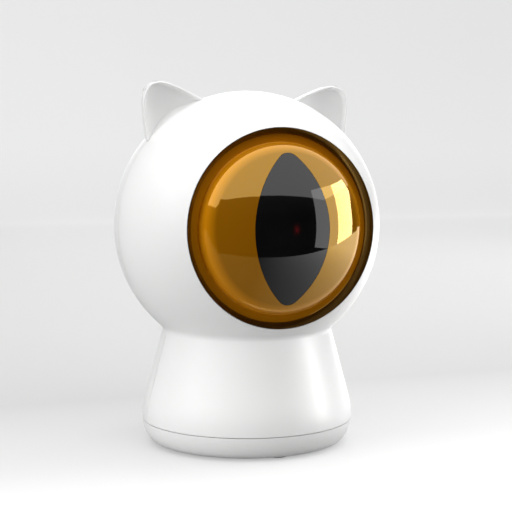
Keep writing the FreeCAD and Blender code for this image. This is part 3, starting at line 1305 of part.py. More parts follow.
def yoke_arm(x0, reach_back):
    x1 = x0 + ARM_THICKNESS
    points = [V(x0, y, z) for y, z in arm_profile(reach_back)]
    plate = polygon_face(points).extrude(V(ARM_THICKNESS, 0, 0))
    plate = plate.fuse(rod_x(PAN_Y, HEAD_HEIGHT, x0, x1, TRUNNION_RADIUS + ARM_MARGIN))
    start, end = x0 - OVER, x1 + OVER
    cuts = [rod_x(PAN_Y, HEAD_HEIGHT, start, end, TILT_PIN_RADIUS + RUNNING_GAP)]
    half = ARM_SLOT_HALF
    low = YOKE_FLOOR_BOTTOM + YOKE_FLOOR + ARM_SLOT_MARGIN
    high = HEAD_HEIGHT - TRUNNION_RADIUS - ARM_SLOT_MARGIN
    cuts.append(box(start, end, PAN_Y - half, PAN_Y + half, low, high))
    cuts += [rod_x(PAN_Y, z, start, end, half) for z in (low, high)]
    if reach_back:
        boss = MOTOR_BOSS_RADIUS + LOOSE_GAP
        hole = SMALL_SHANK + SCREW_CLEARANCE
        cuts.append(rod_x(TILT_PINION_Y, HEAD_HEIGHT, start, end, boss))
        cuts += [rod_x(TILT_PINION_Y, z, start, end, hole) for z in tilt_screw_heights()]
    return plate.cut(cuts)


def tilt_screw_heights():
    reach = TILT_MOTOR_RADIUS + MOTOR_LUG_REACH
    return [HEAD_HEIGHT - reach, HEAD_HEIGHT + reach]


def pan_yoke():
    front, rear = PAN_Y - ARM_HALF_WIDTH, PAN_Y + ARM_HALF_WIDTH
    top = YOKE_FLOOR_BOTTOM + YOKE_FLOOR
    floor = box(-ARM_OUTER, ARM_OUTER, front, rear, YOKE_FLOOR_BOTTOM, top)
    hub = rod_z(0, PAN_Y, HUB_BOTTOM, HUB_TOP, HUB_RADIUS)
    arms = [yoke_arm(ARM_GAP, True), yoke_arm(-ARM_OUTER, False)]
    yoke = floor.fuse([hub, pan_sector()] + arms)
    return single(yoke.cut(rod_z(0, PAN_Y, 0, TOP, PIVOT_RADIUS + RUNNING_GAP)))


def pan_pivot_screw():
    one = screw(CASE_SHANK, PIVOT_RADIUS + PIVOT_HEAD_EXTRA, CASE_HEAD_HEIGHT, PIVOT_SCREW_LENGTH)
    return aimed(one, V(0, PAN_Y, HUB_TOP + SCREW_CLEARANCE), Z_AXIS)


def tilt_motor():
    body = motor(TILT_MOTOR_RADIUS, TILT_MOTOR_LENGTH, TILT_SHAFT_RADIUS)
    body.rotate(V(0, 0, 0), Y_AXIS, -90)
    body.translate(V(ARM_OUTER, TILT_PINION_Y, HEAD_HEIGHT))
    return body


def tilt_motor_screws():
    one = screw(SMALL_SHANK, SMALL_HEAD, SMALL_HEAD_HEIGHT, MOTOR_SCREW_LENGTH)
    seats = [V(ARM_GAP, TILT_PINION_Y, z) for z in tilt_screw_heights()]
    return Part.makeCompound([aimed(one, seat, V(-1, 0, 0)) for seat in seats])


def tilt_gear_middle():
    return TILT_SECTOR_OFFSET + SECTOR_THICKNESS / 2


def tilt_shaft():
    start = tilt_gear_middle() - PINION_FACE / 2
    end = ARM_OUTER + TILT_MOTOR_LENGTH / 2 - PILOT_END
    return rod_x(TILT_PINION_Y, HEAD_HEIGHT, start, end, TILT_SHAFT_RADIUS)


def tilt_pinion():
    gear = pinion(TILT_MODULE, math.pi, TILT_SHAFT_RADIUS)
    return onto_x(gear, tilt_gear_middle() - PINION_FACE / 2, TILT_PINION_Y, HEAD_HEIGHT)


def tilt_sector():
    phase = math.pi / TILT_SECTOR_TEETH
    gear = gear_blank(TILT_MODULE, TILT_SECTOR_TEETH, SECTOR_ADDENDUM, phase, SECTOR_THICKNESS)
    sector = sector_of(gear, TILT_PITCH, TILT_SECTOR_LOW, TILT_SECTOR_HIGH, SECTOR_THICKNESS)
    return onto_x(sector, TILT_SECTOR_OFFSET, PAN_Y, HEAD_HEIGHT)


def laser_cradle():
    tube = rod_y(0, HEAD_HEIGHT, PAN_Y - CRADLE_FRONT, PAN_Y + CRADLE_REAR, CRADLE_RADIUS)
    reach = ARM_GAP - LOOSE_GAP
    trunnion = rod_x(PAN_Y, HEAD_HEIGHT, -reach, reach, TRUNNION_RADIUS)
    cradle = tube.fuse([trunnion, tilt_sector()])
    slit = CRADLE_SLIT / 2
    cuts = [rod_y(0, HEAD_HEIGHT, -FAR, FAR, BARREL_RADIUS + RUNNING_GAP)]
    cuts.append(box(-slit, slit, -FAR, FAR, HEAD_HEIGHT, HEAD_HEIGHT + CRADLE_RADIUS + OVER))
    hole = TILT_PIN_RADIUS + THREAD_GAP
    deep = ARM_OUTER - TILT_PIN_LENGTH
    cuts += both_sides(rod_x(PAN_Y, HEAD_HEIGHT, deep, ARM_GAP + OVER, hole))
    return single(cradle.cut(cuts))


def tilt_pins():
    end = ARM_OUTER + LOOSE_GAP
    pin = rod_x(PAN_Y, HEAD_HEIGHT, end - TILT_PIN_LENGTH, end, TILT_PIN_RADIUS)
    tips = [e for e in pin.Edges if e.BoundBox.XLength < 1e-6]
    return Part.makeCompound(both_sides(pin.makeChamfer(TILT_PIN_CHAMFER, tips)))


def laser_barrel():
    front = PAN_Y - BARREL_FRONT
    rear = PAN_Y + BARREL_REAR
    lens_end = front + LENS_SINK + LENS_THICKNESS
    barrel = rod_y(0, HEAD_HEIGHT, front, rear, BARREL_RADIUS)
    cuts = [rod_y(0, HEAD_HEIGHT, front - OVER, lens_end, BARREL_BORE)]
    cuts.append(rod_y(0, HEAD_HEIGHT, lens_end - OVER, rear - BARREL_BACK, BEAM_BORE))
    for i in range(GRIP_COUNT):
        start = PAN_Y - CRADLE_FRONT - GRIP_START - GRIP_PITCH * i
        end = start + GRIP_WIDTH
        ring = rod_y(0, HEAD_HEIGHT, start, end, BARREL_RADIUS + OVER)
        cuts.append(ring.cut(rod_y(0, HEAD_HEIGHT, start, end, BARREL_RADIUS - GRIP_DEPTH)))
    return single(barrel.cut(cuts))


def laser_lens():
    front = PAN_Y - BARREL_FRONT + LENS_SINK
    return single(rod_y(0, HEAD_HEIGHT, front, front + LENS_THICKNESS, LENS_RADIUS))


def laser_hood():
    mouth = BARREL_FRONT - PAN_Y
    back = mouth - HOOD_OVERLAP
    tip = back + HOOD_LENGTH
    inner = BARREL_RADIUS + RUNNING_GAP
    outer = inner + HOOD_WALL
    pairs = [(inner, back), (outer, back), (outer, mouth), (HOOD_TIP_RADIUS, tip)]
    pairs += [(HOOD_BORE, tip), (HOOD_BORE, tip - HOOD_END), (BARREL_BORE, mouth), (inner, mouth)]
    return single(eye_ring(pairs))


def laser_board():
    start = PAN_Y + BARREL_REAR
    end = start + LASER_BOARD_THICKNESS
    disc = rod_y(0, HEAD_HEIGHT, start, end, LASER_BOARD_RADIUS)
    width, height, depth = LASER_CHIP
    middle = HEAD_HEIGHT + LASER_CHIP_RISE
    chip = board_block(0, middle, width, height, end - LASER_BOARD_THICKNESS / 2, end + depth)
    return single(disc.fuse(chip))


PIECES = [
    front_shell, rear_shell, base_cover, foot_pads, base_screws, shell_screws,
    bezel_ring, eye_dome, pupil_window, dome_gasket, dome_retainer, retainer_screws,
    main_board, board_screws, board_parts, vibration_sensor, power_switch, power_button,
    status_lens, usb_socket, usb_tongue, battery_holder, battery_cell, battery_contacts,
    mechanism_frame, frame_screws, pan_motor, pan_motor_screws, pan_shaft, pan_pinion,
    pan_yoke, pan_pivot_screw, tilt_motor, tilt_motor_screws, tilt_shaft, tilt_pinion,
    laser_cradle, tilt_pins, laser_barrel, laser_lens, laser_hood, laser_board,
]


def main():
    os.makedirs("parts", exist_ok=True)
    for piece in PIECES:
        shape = piece()
        if not shape.isValid():
            raise ValueError("%s is not a valid solid" % piece.__name__)
        shape.translate(MIDDLE)
        shape.exportStep("parts/%s.step" % piece.__name__)
        print(piece.__name__, len(shape.Solids), round(shape.Volume, 1))


main()
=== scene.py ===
import bpy
import json
import math
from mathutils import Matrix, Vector

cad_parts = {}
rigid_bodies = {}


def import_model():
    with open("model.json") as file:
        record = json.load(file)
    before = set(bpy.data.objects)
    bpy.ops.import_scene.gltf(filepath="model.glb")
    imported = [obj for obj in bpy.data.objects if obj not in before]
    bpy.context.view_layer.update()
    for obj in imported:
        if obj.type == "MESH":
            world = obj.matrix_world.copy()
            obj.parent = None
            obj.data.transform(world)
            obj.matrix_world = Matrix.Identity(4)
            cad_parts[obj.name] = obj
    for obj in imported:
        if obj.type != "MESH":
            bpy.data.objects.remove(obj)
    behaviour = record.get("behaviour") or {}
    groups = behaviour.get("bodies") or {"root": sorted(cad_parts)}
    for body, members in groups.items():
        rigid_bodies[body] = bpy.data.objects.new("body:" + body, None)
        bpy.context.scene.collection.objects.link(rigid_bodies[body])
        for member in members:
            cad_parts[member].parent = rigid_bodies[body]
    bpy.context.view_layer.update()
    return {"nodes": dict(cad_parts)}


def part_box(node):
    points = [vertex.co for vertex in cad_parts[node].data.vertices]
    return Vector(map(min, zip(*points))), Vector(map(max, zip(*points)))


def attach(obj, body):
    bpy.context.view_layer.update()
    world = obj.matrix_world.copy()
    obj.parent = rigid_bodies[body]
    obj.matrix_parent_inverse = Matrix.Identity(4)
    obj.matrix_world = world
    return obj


# Automatic cat laser toy, dressed over its CAD frame. Metres, Z up, the eye looks along -Y.

for leftover in list(bpy.data.objects):
    bpy.data.objects.remove(leftover)

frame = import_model()
nodes = frame["nodes"]
print("frame loaded:", len(nodes), "nodes")


# small helpers for shader nodes and meshes

def addNode(tree, kind, inputs=None, **settings):
    made = tree.nodes.new("ShaderNode" + kind)
    for key, value in settings.items():
        setattr(made, key, value)
    for key, value in (inputs or {}).items():
        if isinstance(value, bpy.types.NodeSocket):
            tree.links.new(value, made.inputs[key])
        else:
            made.inputs[key].default_value = value
    return made


def newMaterial(name, sockets):
    made = bpy.data.materials.new(name)
    made.use_nodes = True
    shader = made.node_tree.nodes["Principled BSDF"]
    for socket, value in sockets.items():
        shader.inputs[socket].default_value = value
    return made, made.node_tree, shader


def ramp(tree, factor, stops):
    made = addNode(tree, "ValToRGB", {"Fac": factor})
    band = made.color_ramp
    band.elements[0].position, band.elements[0].color = stops[0]
    band.elements[1].position, band.elements[1].color = stops[-1]
    for position, colour in stops[1:-1]:
        band.elements.new(position).color = colour
    return made.outputs["Color"]


def spread(tree, value, low, high, fromLow=0.0, fromHigh=1.0):
    made = addNode(tree, "MapRange", {"Value": value, "From Min": fromLow, "From Max": fromHigh})
    made.inputs["To Min"].default_value = low
    made.inputs["To Max"].default_value = high
    return made.outputs["Result"]


def shade(colour, factor):
    return tuple(min(1.0, channel * factor) for channel in colour[:3]) + (1.0,)


def paint(names, made):
    for name in names:
        for place in nodes[name].material_slots:
            place.link = "DATA"
            place.material = made


def newPiece(name, places, faces, material, smooth=True):
    mesh = bpy.data.meshes.new(name)
    mesh.from_pydata(places, [], faces)
    for face in mesh.polygons:
        face.use_smooth = smooth
    mesh.materials.append(material)
    made = bpy.data.objects.new(name, mesh)
    bpy.context.scene.collection.objects.link(made)
    return made


# finishes of the moulded and metal parts

finish = {
    "cloudDetail": 4.0,
    "cloudStops": (0.3, 0.7),
    "grainDetail": 2.0,
    "gleamDetail": 3.0,
    "edgeSamples": 4,
    "brushDetail": 5.0,
    "brushStops": (0.25, 0.75),
    "brushTones": (0.82, 1.08),
}


def tones(colour, places, factors):
    return [(place, shade(colour, factor)) for place, factor in zip(places, factors)]


def mouldedPlastic(name, look):
    made, tree, shader = newMaterial(name, look["sockets"])
    place = addNode(tree, "TexCoord").outputs["Object"]
    cloud = addNode(tree, "TexNoise", {"Vector": place, "Scale": look["cloudScale"],
                                       "Detail": finish["cloudDetail"]})
    stops = tones(look["colour"], finish["cloudStops"], (1 - look["cloud"], 1 + look["cloud"]))
    tree.links.new(ramp(tree, cloud.outputs["Fac"], stops), shader.inputs["Base Color"])
    grain = addNode(tree, "TexNoise", {"Vector": place, "Scale": look["grainScale"],
                                       "Detail": finish["grainDetail"]})
    rough = spread(tree, grain.outputs["Fac"], *look["roughness"])
    tree.links.new(rough, shader.inputs["Roughness"])
    soft = addNode(tree, "Bevel", {"Radius": look["edge"]}, samples=finish["edgeSamples"])
    bump = addNode(tree, "Bump", {"Height": grain.outputs["Fac"], "Strength": 1.0})
    bump.inputs["Distance"].default_value = look["grainDepth"]
    tree.links.new(soft.outputs["Normal"], bump.inputs["Normal"])
    tree.links.new(bump.outputs["Normal"], shader.inputs["Normal"])
    return made


def brushedMetal(name, look):
    made, tree, shader = newMaterial(name, look["sockets"])
    place = addNode(tree, "TexCoord").outputs["Object"]
    drawn = addNode(tree, "Mapping", {"Vector": place, "Scale": look["stretch"]})
    lines = addNode(tree, "TexNoise", {"Vector": drawn.outputs["Vector"], "Scale": look["scale"],
                                       "Detail": finish["brushDetail"]})
    stops = tones(look["colour"], finish["brushStops"], finish["brushTones"])
    tree.links.new(ramp(tree, lines.outputs["Fac"], stops), shader.inputs["Base Color"])
    rough = spread(tree, lines.outputs["Fac"], *look["roughness"])
    tree.links.new(rough, shader.inputs["Roughness"])
    bump = addNode(tree, "Bump", {"Height": lines.outputs["Fac"], "Distance": look["depth"]})
    tree.links.new(bump.outputs["Normal"], shader.inputs["Normal"])
    return made


print("painting the plastics and metals")

plastics = {
    "satinWhite": {
        "on": ["front_shell", "rear_shell"],
        "colour": (0.88, 0.88, 0.875), "cloud": 0.004, "cloudScale": 35.0,
        "grainScale": 4200.0, "grainDepth": 0.000012, "roughness": (0.34, 0.42), "edge": 0.00025,
        "sockets": {"IOR": 1.5, "Coat Weight": 0.15, "Coat Roughness": 0.3},
    },
    "baseWhite": {
        "on": ["base_cover"],
        "colour": (0.87, 0.87, 0.865), "cloud": 0.004, "cloudScale": 40.0,
        "grainScale": 3600.0, "grainDepth": 0.000016, "roughness": (0.42, 0.52), "edge": 0.00025,
        "sockets": {"IOR": 1.5},
    },
    "buttonWhite": {
        "on": ["power_button"],
        "colour": (0.86, 0.86, 0.855), "cloud": 0.004, "cloudScale": 200.0,
        "grainScale": 4200.0, "grainDepth": 0.00001, "roughness": (0.25, 0.32), "edge": 0.0002,
        "sockets": {"IOR": 1.5},
    },
    "framePlastic": {
        "on": ["mechanism_frame", "dome_retainer"],
        "colour": (0.035, 0.035, 0.038), "cloud": 0.1, "cloudScale": 120.0,
        "grainScale": 3200.0, "grainDepth": 0.00002, "roughness": (0.45, 0.6), "edge": 0.0002,
        "sockets": {"IOR": 1.5},
    },
    "gearPlastic": {
        "on": ["pan_yoke", "pan_pinion", "tilt_pinion", "laser_cradle"],
        "colour": (0.74, 0.72, 0.66), "cloud": 0.03, "cloudScale": 150.0,
        "grainScale": 3000.0, "grainDepth": 0.000012, "roughness": (0.35, 0.45), "edge": 0.00015,
        "sockets": {"IOR": 1.53, "Subsurface Weight": 0.1, "Subsurface Scale": 0.001},
    },
    "holderPlastic": {
        "on": ["battery_holder", "power_switch", "board_parts", "usb_tongue", "laser_hood"],
        "colour": (0.02, 0.02, 0.021), "cloud": 0.12, "cloudScale": 200.0,
        "grainScale": 3800.0, "grainDepth": 0.000018, "roughness": (0.4, 0.55), "edge": 0.00015,
        "sockets": {"IOR": 1.5},
    },
    "footRubber": {
        "on": ["foot_pads", "dome_gasket"],
        "colour": (0.035, 0.035, 0.036), "cloud": 0.15, "cloudScale": 300.0,
        "grainScale": 2500.0, "grainDepth": 0.00004, "roughness": (0.7, 0.85), "edge": 0.0002,
        "sockets": {"IOR": 1.45},
    },
    "cellWrap": {
        "on": ["battery_cell"],
        "colour": (0.03, 0.11, 0.32), "cloud": 0.08, "cloudScale": 90.0,
        "grainScale": 1500.0, "grainDepth": 0.00001, "roughness": (0.2, 0.3), "edge": 0.0002,
        "sockets": {"IOR": 1.5, "Coat Weight": 0.4},
    },
    "boardGreen": {
        "on": ["main_board", "laser_board"],
        "colour": (0.012, 0.11, 0.04), "cloud": 0.25, "cloudScale": 700.0,
        "grainScale": 2600.0, "grainDepth": 0.00002, "roughness": (0.25, 0.4), "edge": 0.0001,
        "sockets": {"IOR": 1.5, "Coat Weight": 0.5},
    },
}
for name, look in plastics.items():
    paint(look["on"], mouldedPlastic(name, look))

metals = {
    "screwSteel": {
        "on": ["base_screws", "shell_screws", "retainer_screws", "board_screws", "frame_screws",
               "pan_motor_screws", "tilt_motor_screws", "pan_pivot_screw"],
        "colour": (0.55, 0.55, 0.56), "stretch": (1.0, 1.0, 1.0), "scale": 2200.0,
        "roughness": (0.24, 0.38), "depth": 0.00001, "sockets": {"Metallic": 1.0},
    },
    "canNickel": {
        "on": ["pan_motor", "tilt_motor", "vibration_sensor", "usb_socket", "battery_contacts"],
        "colour": (0.66, 0.65, 0.63), "stretch": (1.0, 1.0, 14.0), "scale": 320.0,
        "roughness": (0.2, 0.32), "depth": 0.000006, "sockets": {"Metallic": 1.0},
    },
    "shaftSteel": {
        "on": ["pan_shaft", "tilt_shaft", "tilt_pins"],
        "colour": (0.62, 0.62, 0.63), "stretch": (12.0, 1.0, 1.0), "scale": 500.0,
        "roughness": (0.14, 0.24), "depth": 0.000004, "sockets": {"Metallic": 1.0},
    },
    "barrelBrass": {
        "on": ["laser_barrel"],
        "colour": (0.74, 0.52, 0.2), "stretch": (1.0, 16.0, 1.0), "scale": 420.0,
        "roughness": (0.18, 0.3), "depth": 0.000006, "sockets": {"Metallic": 1.0},
    },
}
for name, look in metals.items():
    paint(look["on"], brushedMetal(name, look))


# the eye: amber half mirror, smoked window, dark bezel

domeLow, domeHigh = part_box("eye_dome")
eyeHeight = (domeLow.z + domeHigh.z) / 2
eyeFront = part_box("pupil_window")[0].y

eye = {
    "amber": (0.33, 0.122, 0.001),
    "amberReach": 0.034,  # the tones below run from the eye's axis out to here; their lighter band near the rim is painted light on the dome's shaded edge
    "amberStops": (0.0, 0.78, 0.88, 1.0),
    "amberToneAndPaintedRimLight": (1.0, 1.0, 2.2, 1.3),
    "amberDrift": 0.03,
    "driftScale": 25.0,
    "driftDetail": 1.0,
    "amberRoughness": (0.021, 0.039),
    "amberGrain": 900.0,
    "amberSockets": {"Metallic": 0.22, "IOR": 1.95, "Coat Weight": 0.2, "Coat Roughness": 0.01,
                     "Specular Tint": (0.9, 0.8, 0.15, 1.0)},
    "smoke": (0.003, 0.003, 0.0032),
    "smokeTones": (0.7, 1.4),
    "smokeScale": 60.0,
    "smokeRoughness": (0.02, 0.05),
    "smokeSockets": {"Alpha": 0.96, "IOR": 1.52},
    # painted amber light on the bezel's inner edge; the outside tone is the bezel's own near-black
    "bezelPaintedAmberLight": (0.06, 0.025, 0.003),
    "bezelOutside": (0.004, 0.003, 0.002),
    "bezelSplit": (0.0333, 0.0340),
    "bezelRoughness": (0.08, 0.16),
    "bezelGrain": 700.0,
    "bezelSockets": {"IOR": 1.5, "Coat Weight": 1.0, "Coat Roughness": 0.12},
}


def fromEyeAxis(tree):
    # a point's place, and how far it lies from the axis that the eye looks along
    place = addNode(tree, "TexCoord").outputs["Object"]
    flat = addNode(tree, "Mapping", {"Vector": place, "Location": (0, 0, -eyeHeight)})
    flat.inputs["Scale"].default_value = (1, 0, 1)
    away = addNode(tree, "VectorMath", {0: flat.outputs["Vector"]}, operation="LENGTH")
    return place, away.outputs["Value"]


def amberMirror():
    made, tree, shader = newMaterial("amberMirror", eye["amberSockets"])
    place, away = fromEyeAxis(tree)
    fade = spread(tree, away, 0.0, 1.0, 0.0, eye["amberReach"])
    noise = addNode(tree, "TexNoise", {"Vector": place, "Scale": eye["driftScale"],
                                       "Detail": eye["driftDetail"]})
    drift = spread(tree, noise.outputs["Fac"], -eye["amberDrift"], eye["amberDrift"])
    mixed = addNode(tree, "Math", {0: fade, 1: drift})
    # base colour by distance from the eye's axis, with random drift; the lighter band near the rim
    # is painted light on the dome's shaded edge
    stops = tones(eye["amber"], eye["amberStops"], eye["amberToneAndPaintedRimLight"])
    tree.links.new(ramp(tree, mixed.outputs["Value"], stops), shader.inputs["Base Color"])
    fine = addNode(tree, "TexNoise", {"Vector": place, "Scale": eye["amberGrain"],
                                      "Detail": finish["grainDetail"]})
    rough = spread(tree, fine.outputs["Fac"], *eye["amberRoughness"])
    tree.links.new(rough, shader.inputs["Roughness"])
    return made


def smokedWindow():
    made, tree, shader = newMaterial("smokedWindow", eye["smokeSockets"])
    place = addNode(tree, "TexCoord").outputs["Object"]
    cloud = addNode(tree, "TexNoise", {"Vector": place, "Scale": eye["smokeScale"],
                                       "Detail": finish["gleamDetail"]})
    stops = tones(eye["smoke"], finish["cloudStops"], eye["smokeTones"])
    tree.links.new(ramp(tree, cloud.outputs["Fac"], stops), shader.inputs["Base Color"])
    rough = spread(tree, cloud.outputs["Fac"], *eye["smokeRoughness"])
    tree.links.new(rough, shader.inputs["Roughness"])
    return made


def darkBezel():
    made, tree, shader = newMaterial("darkBezel", eye["bezelSockets"])
    place, away = fromEyeAxis(tree)
    # painted amber light at the inner edge, fading outwards into the bezel's own near-black
    outwards = spread(tree, away, 0.0, 1.0, *eye["bezelSplit"])
    stops = [(0.0, shade(eye["bezelPaintedAmberLight"], 1.0)), (1.0, shade(eye["bezelOutside"], 1.0))]
    tree.links.new(ramp(tree, outwards, stops), shader.inputs["Base Color"])
    fine = addNode(tree, "TexNoise", {"Vector": place, "Scale": eye["bezelGrain"],
                                      "Detail": finish["gleamDetail"]})
    rough = spread(tree, fine.outputs["Fac"], *eye["bezelRoughness"])
    tree.links.new(rough, shader.inputs["Roughness"])
    return made


paint(["eye_dome"], amberMirror())
paint(["pupil_window"], smokedWindow())
paint(["bezel_ring"], darkBezel())
print("eye painted")


# smooth lining in each ear's scoop, with a rounded rim round it

ear = {
    "lean": 36.6,  # degrees from straight up
    "base": 0.0487,  # from the head's middle
    "halfWidth": 0.0131,
    "length": 0.0156,
    "outline": [(1.0, 0.0), (0.85, 0.24), (0.72, 0.44), (0.575, 0.63), (0.425, 0.8),
                (0.27, 0.92), (0.1, 0.985), (0.0, 1.0)],
    "between": 6,  # points on the curve from one mark to the next
    "rimWidth": 0.00115,
    "rimBulge": 0.0006,
    "rimSteps": 10,
    "curve": 0.034,  # radius of the dish
    "depth": 0.003,
    "deepest": 0.002,  # above the base
    "front": -0.002,  # of the seam
    "skin": 0.00007,  # the lining lies this far over the moulding
    "rings": 14,
    "core": 0.3,  # height of the dish's middle point, as a share of the length
    "headRadius": 0.05,
}
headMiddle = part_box("rear_shell")[1].y - ear["headRadius"]


def earOutline():
    # the ear's edge as one smooth line from root to root, with its inward direction
    half = [Vector((u * ear["halfWidth"], v * ear["length"])) for u, v in ear["outline"]]
    marks = half + [Vector((-point.x, point.y)) for point in reversed(half[:-1])]
    marks = [2 * marks[0] - marks[1]] + marks + [2 * marks[-1] - marks[-2]]
    line = []
    for i in range(1, len(marks) - 2):
        a, b, c, d = marks[i - 1:i + 3]  # Catmull-Rom curve from b to c
        for j in range(ear["between"]):
            t = j / ear["between"]
            line.append((2 * b + (c - a) * t + (2 * a - 5 * b + 4 * c - d) * t ** 2
                         + (3 * b - a - 3 * c + d) * t ** 3) / 2)
    line.append(marks[-2])
    edge = []
    for i, point in enumerate(line):
        run = (line[min(i + 1, len(line) - 1)] - line[max(i - 1, 0)]).normalized()
        edge.append((point, Vector((-run.y, run.x))))
    return edge


def earPlace(side, spot, deep):
    # spot is across and up on the ear's face, deep is towards the rear
    lean = math.radians(ear["lean"])
    up = ear["base"] + spot.y
    x = spot.x * math.cos(lean) + up * math.sin(lean)
    z = eyeHeight - spot.x * math.sin(lean) + up * math.cos(lean)
    return (side * x, headMiddle + ear["front"] + deep, z)


def dishPlace(side, spot):
    ball = ear["curve"] - ear["skin"]
    drop = math.sqrt(ball ** 2 - spot.x ** 2 - (spot.y - ear["deepest"]) ** 2)
    return earPlace(side, spot, ear["depth"] - ear["curve"] + drop)


def earLining(name, side):
    edge = earOutline()
    core = Vector((0.0, ear["length"] * ear["core"]))
    rings = ear["rings"]
    rows = []  # the dish from its middle out, then over the rim
    for i in range(rings):
        share = (i + 1) / rings
        rows.append([dishPlace(side, core + (point + inward * ear["rimWidth"] - core) * share)
                     for point, inward in edge])
    steps = ear["rimSteps"]
    for i in range(steps + 1):
        share = i / steps
        inset = ear["rimWidth"] * (1 - share)
        bulge = ear["rimBulge"] * math.sin(math.pi * share)
        rows.append([earPlace(side, point + inward * inset, ear["skin"] - bulge)
                     for point, inward in edge])
    places = [dishPlace(side, core)] + [place for row in rows for place in row]
    count = len(edge)
    faces = [(0, 1 + j, 2 + j) for j in range(count - 1)]
    for i in range(len(rows) - 1):
        start = 1 + i * count
        faces += [(start + j, start + count + j, start + count + j + 1, start + j + 1)
                  for j in range(count - 1)]
    if side < 0:
        faces = [tuple(reversed(face)) for face in faces]
    made = newPiece(name, places, faces, bpy.data.materials["satinWhite"])
    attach(made, "housing")


earLining("leftEarLining", 1)
earLining("rightEarLining", -1)


# clear pieces

clear = {
    "on": ["status_lens", "laser_lens"],
    "tint": (0.9, 0.92, 0.93),
    "tones": (0.92, 1.05),
    "cloudScale": 400.0,
    "roughness": (0.08, 0.16),
    "sockets": {"Transmission Weight": 0.9, "IOR": 1.49},
}


def clearPlastic():
    made, tree, shader = newMaterial("clearLens", clear["sockets"])
    place = addNode(tree, "TexCoord").outputs["Object"]
    cloud = addNode(tree, "TexNoise", {"Vector": place, "Scale": clear["cloudScale"],
                                       "Detail": finish["grainDetail"]})
    stops = tones(clear["tint"], finish["cloudStops"], clear["tones"])
    tree.links.new(ramp(tree, cloud.outputs["Fac"], stops), shader.inputs["Base Color"])
    rough = spread(tree, cloud.outputs["Fac"], *clear["roughness"])
    tree.links.new(rough, shader.inputs["Roughness"])
    return made


paint(clear["on"], clearPlastic())


# the laser's red glow: a soft disc behind the window, carried by the cradle

glow = {
    "colour": (1.0, 0.02, 0.03),
    "strength": 48.0,
    "size": (0.0032, 0.0046),
    "aside": 0.0026,  # from the eye's axis, towards +X
    "behindWindow": 0.0042,
    "unlit": (0.2, 0.0, 0.0),
    "softness": 2.6,
    "rimPoints": 48,
}


def glowMiddle():
    return Vector((glow["aside"], eyeFront + glow["behindWindow"], eyeHeight))


def redGlow():
    made, tree, shader = newMaterial("redGlow", {"Base Color": glow["unlit"] + (1.0,),
                                                 "Emission Color": glow["colour"] + (1.0,)})
    place = addNode(tree, "TexCoord").outputs["Object"]
    wide, tall = glow["size"]
    shift = addNode(tree, "VectorMath", {0: place, 1: glowMiddle()}, operation="SUBTRACT")
    scale = (1 / wide, 0.0, 1 / tall)
    even = addNode(tree, "VectorMath", {0: shift.outputs["Vector"], 1: scale}, operation="MULTIPLY")
    away = addNode(tree, "VectorMath", {0: even.outputs["Vector"]}, operation="LENGTH")
    fade = spread(tree, away.outputs["Value"], 1.0, 0.0)
    soft = addNode(tree, "Math", {0: fade, 1: glow["softness"]}, operation="POWER").outputs["Value"]
    tree.links.new(spread(tree, soft, 0.0, glow["strength"]), shader.inputs["Emission Strength"])
    tree.links.new(soft, shader.inputs["Alpha"])
    return made


def glowDisc():
    wide, tall = glow["size"]
    count = glow["rimPoints"]
    middle = glowMiddle()
    places = [middle]
    for i in range(count):
        angle = 2 * math.pi * i / count
        places.append(middle + Vector((wide * math.cos(angle), 0, tall * math.sin(angle))))
    faces = [(0, 1 + i, 1 + (i + 1) % count) for i in range(count)]
    made = newPiece("laserGlow", places, faces, redGlow(), smooth=False)
    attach(made, "laser_cradle")


glowDisc()
print("laser glow made")


# stage, lights and camera

stage = {
    "floorColour": (0.4, 0.4, 0.4),
    "floorFront": -0.225,
    "floorBack": 2.6,
    "floorHalfWidth": 2.4,
    "wallHeight": 2.4,
    "liftReach": (-0.1, 2.6),
    "lift": [(0.0, 0.6), (0.015, 0.5), (0.03, 0.38), (0.044, 0.31), (0.07, 0.165), (0.154, 0.205),
             (0.42, 0.29), (0.6, 0.34), (0.72, 0.41), (0.848, 0.5), (0.96, 0.53), (1.0, 0.55)],
    "shine": 2.6,
    "shineReach": (-0.02, 0.3),
    "mirrored": 0.35,
    "wallCurve": 0.9,
    "sky": (0.64, 0.64, 0.64),
    "skyReach": (0.1, 0.9),
    "skyGlow": (0.25, 1.4),
    "mirrorSkyGlow": (0.04, 0.3),
    "curveSteps": 24,
    "cloudScale": 3.0,
    "cloudTones": (0.995, 1.005),
    "sockets": {"Roughness": 0.7, "IOR": 1.3, "Emission Color": (1.0, 1.0, 1.0, 1.0)},
}


def pale(name, colour):
    # To the camera the floor and backdrop are lifted, by how far back they lie. In mirrors they
    # are darker, with a shine that grows towards +X.
    made, tree, shader = newMaterial(name, stage["sockets"])
    place = addNode(tree, "TexCoord").outputs["Object"]
    seen = addNode(tree, "LightPath").outputs["Is Camera Ray"]
    parted = addNode(tree, "SeparateXYZ", {"Vector": place}).outputs
    back, across = parted["Y"], parted["X"]
    share = spread(tree, back, 0.0, 1.0, *stage["liftReach"])
    lift = ramp(tree, share, [(at, (value, value, value, 1.0)) for at, value in stage["lift"]])
    lifted = addNode(tree, "Math", {0: lift, 1: seen}, operation="MULTIPLY").outputs["Value"]
    glossy = addNode(tree, "LightPath").outputs["Is Glossy Ray"]
    shine = spread(tree, across, 0.0, stage["shine"], *stage["shineReach"])
    shone = addNode(tree, "Math", {0: shine, 1: glossy, 2: lifted}, operation="MULTIPLY_ADD")
    tree.links.new(shone.outputs["Value"], shader.inputs["Emission Strength"])
    cloud = addNode(tree, "TexNoise", {"Vector": place, "Scale": stage["cloudScale"],
                                       "Detail": finish["grainDetail"]})
    stops = tones(colour, finish["cloudStops"], stage["cloudTones"])
    plain = ramp(tree, cloud.outputs["Fac"], stops)
    dim = spread(tree, glossy, 1.0, stage["mirrored"])
    toned = addNode(tree, "VectorMath", {0: plain, "Scale": dim}, operation="SCALE")
    tree.links.new(toned.outputs["Vector"], shader.inputs["Base Color"])
    return made


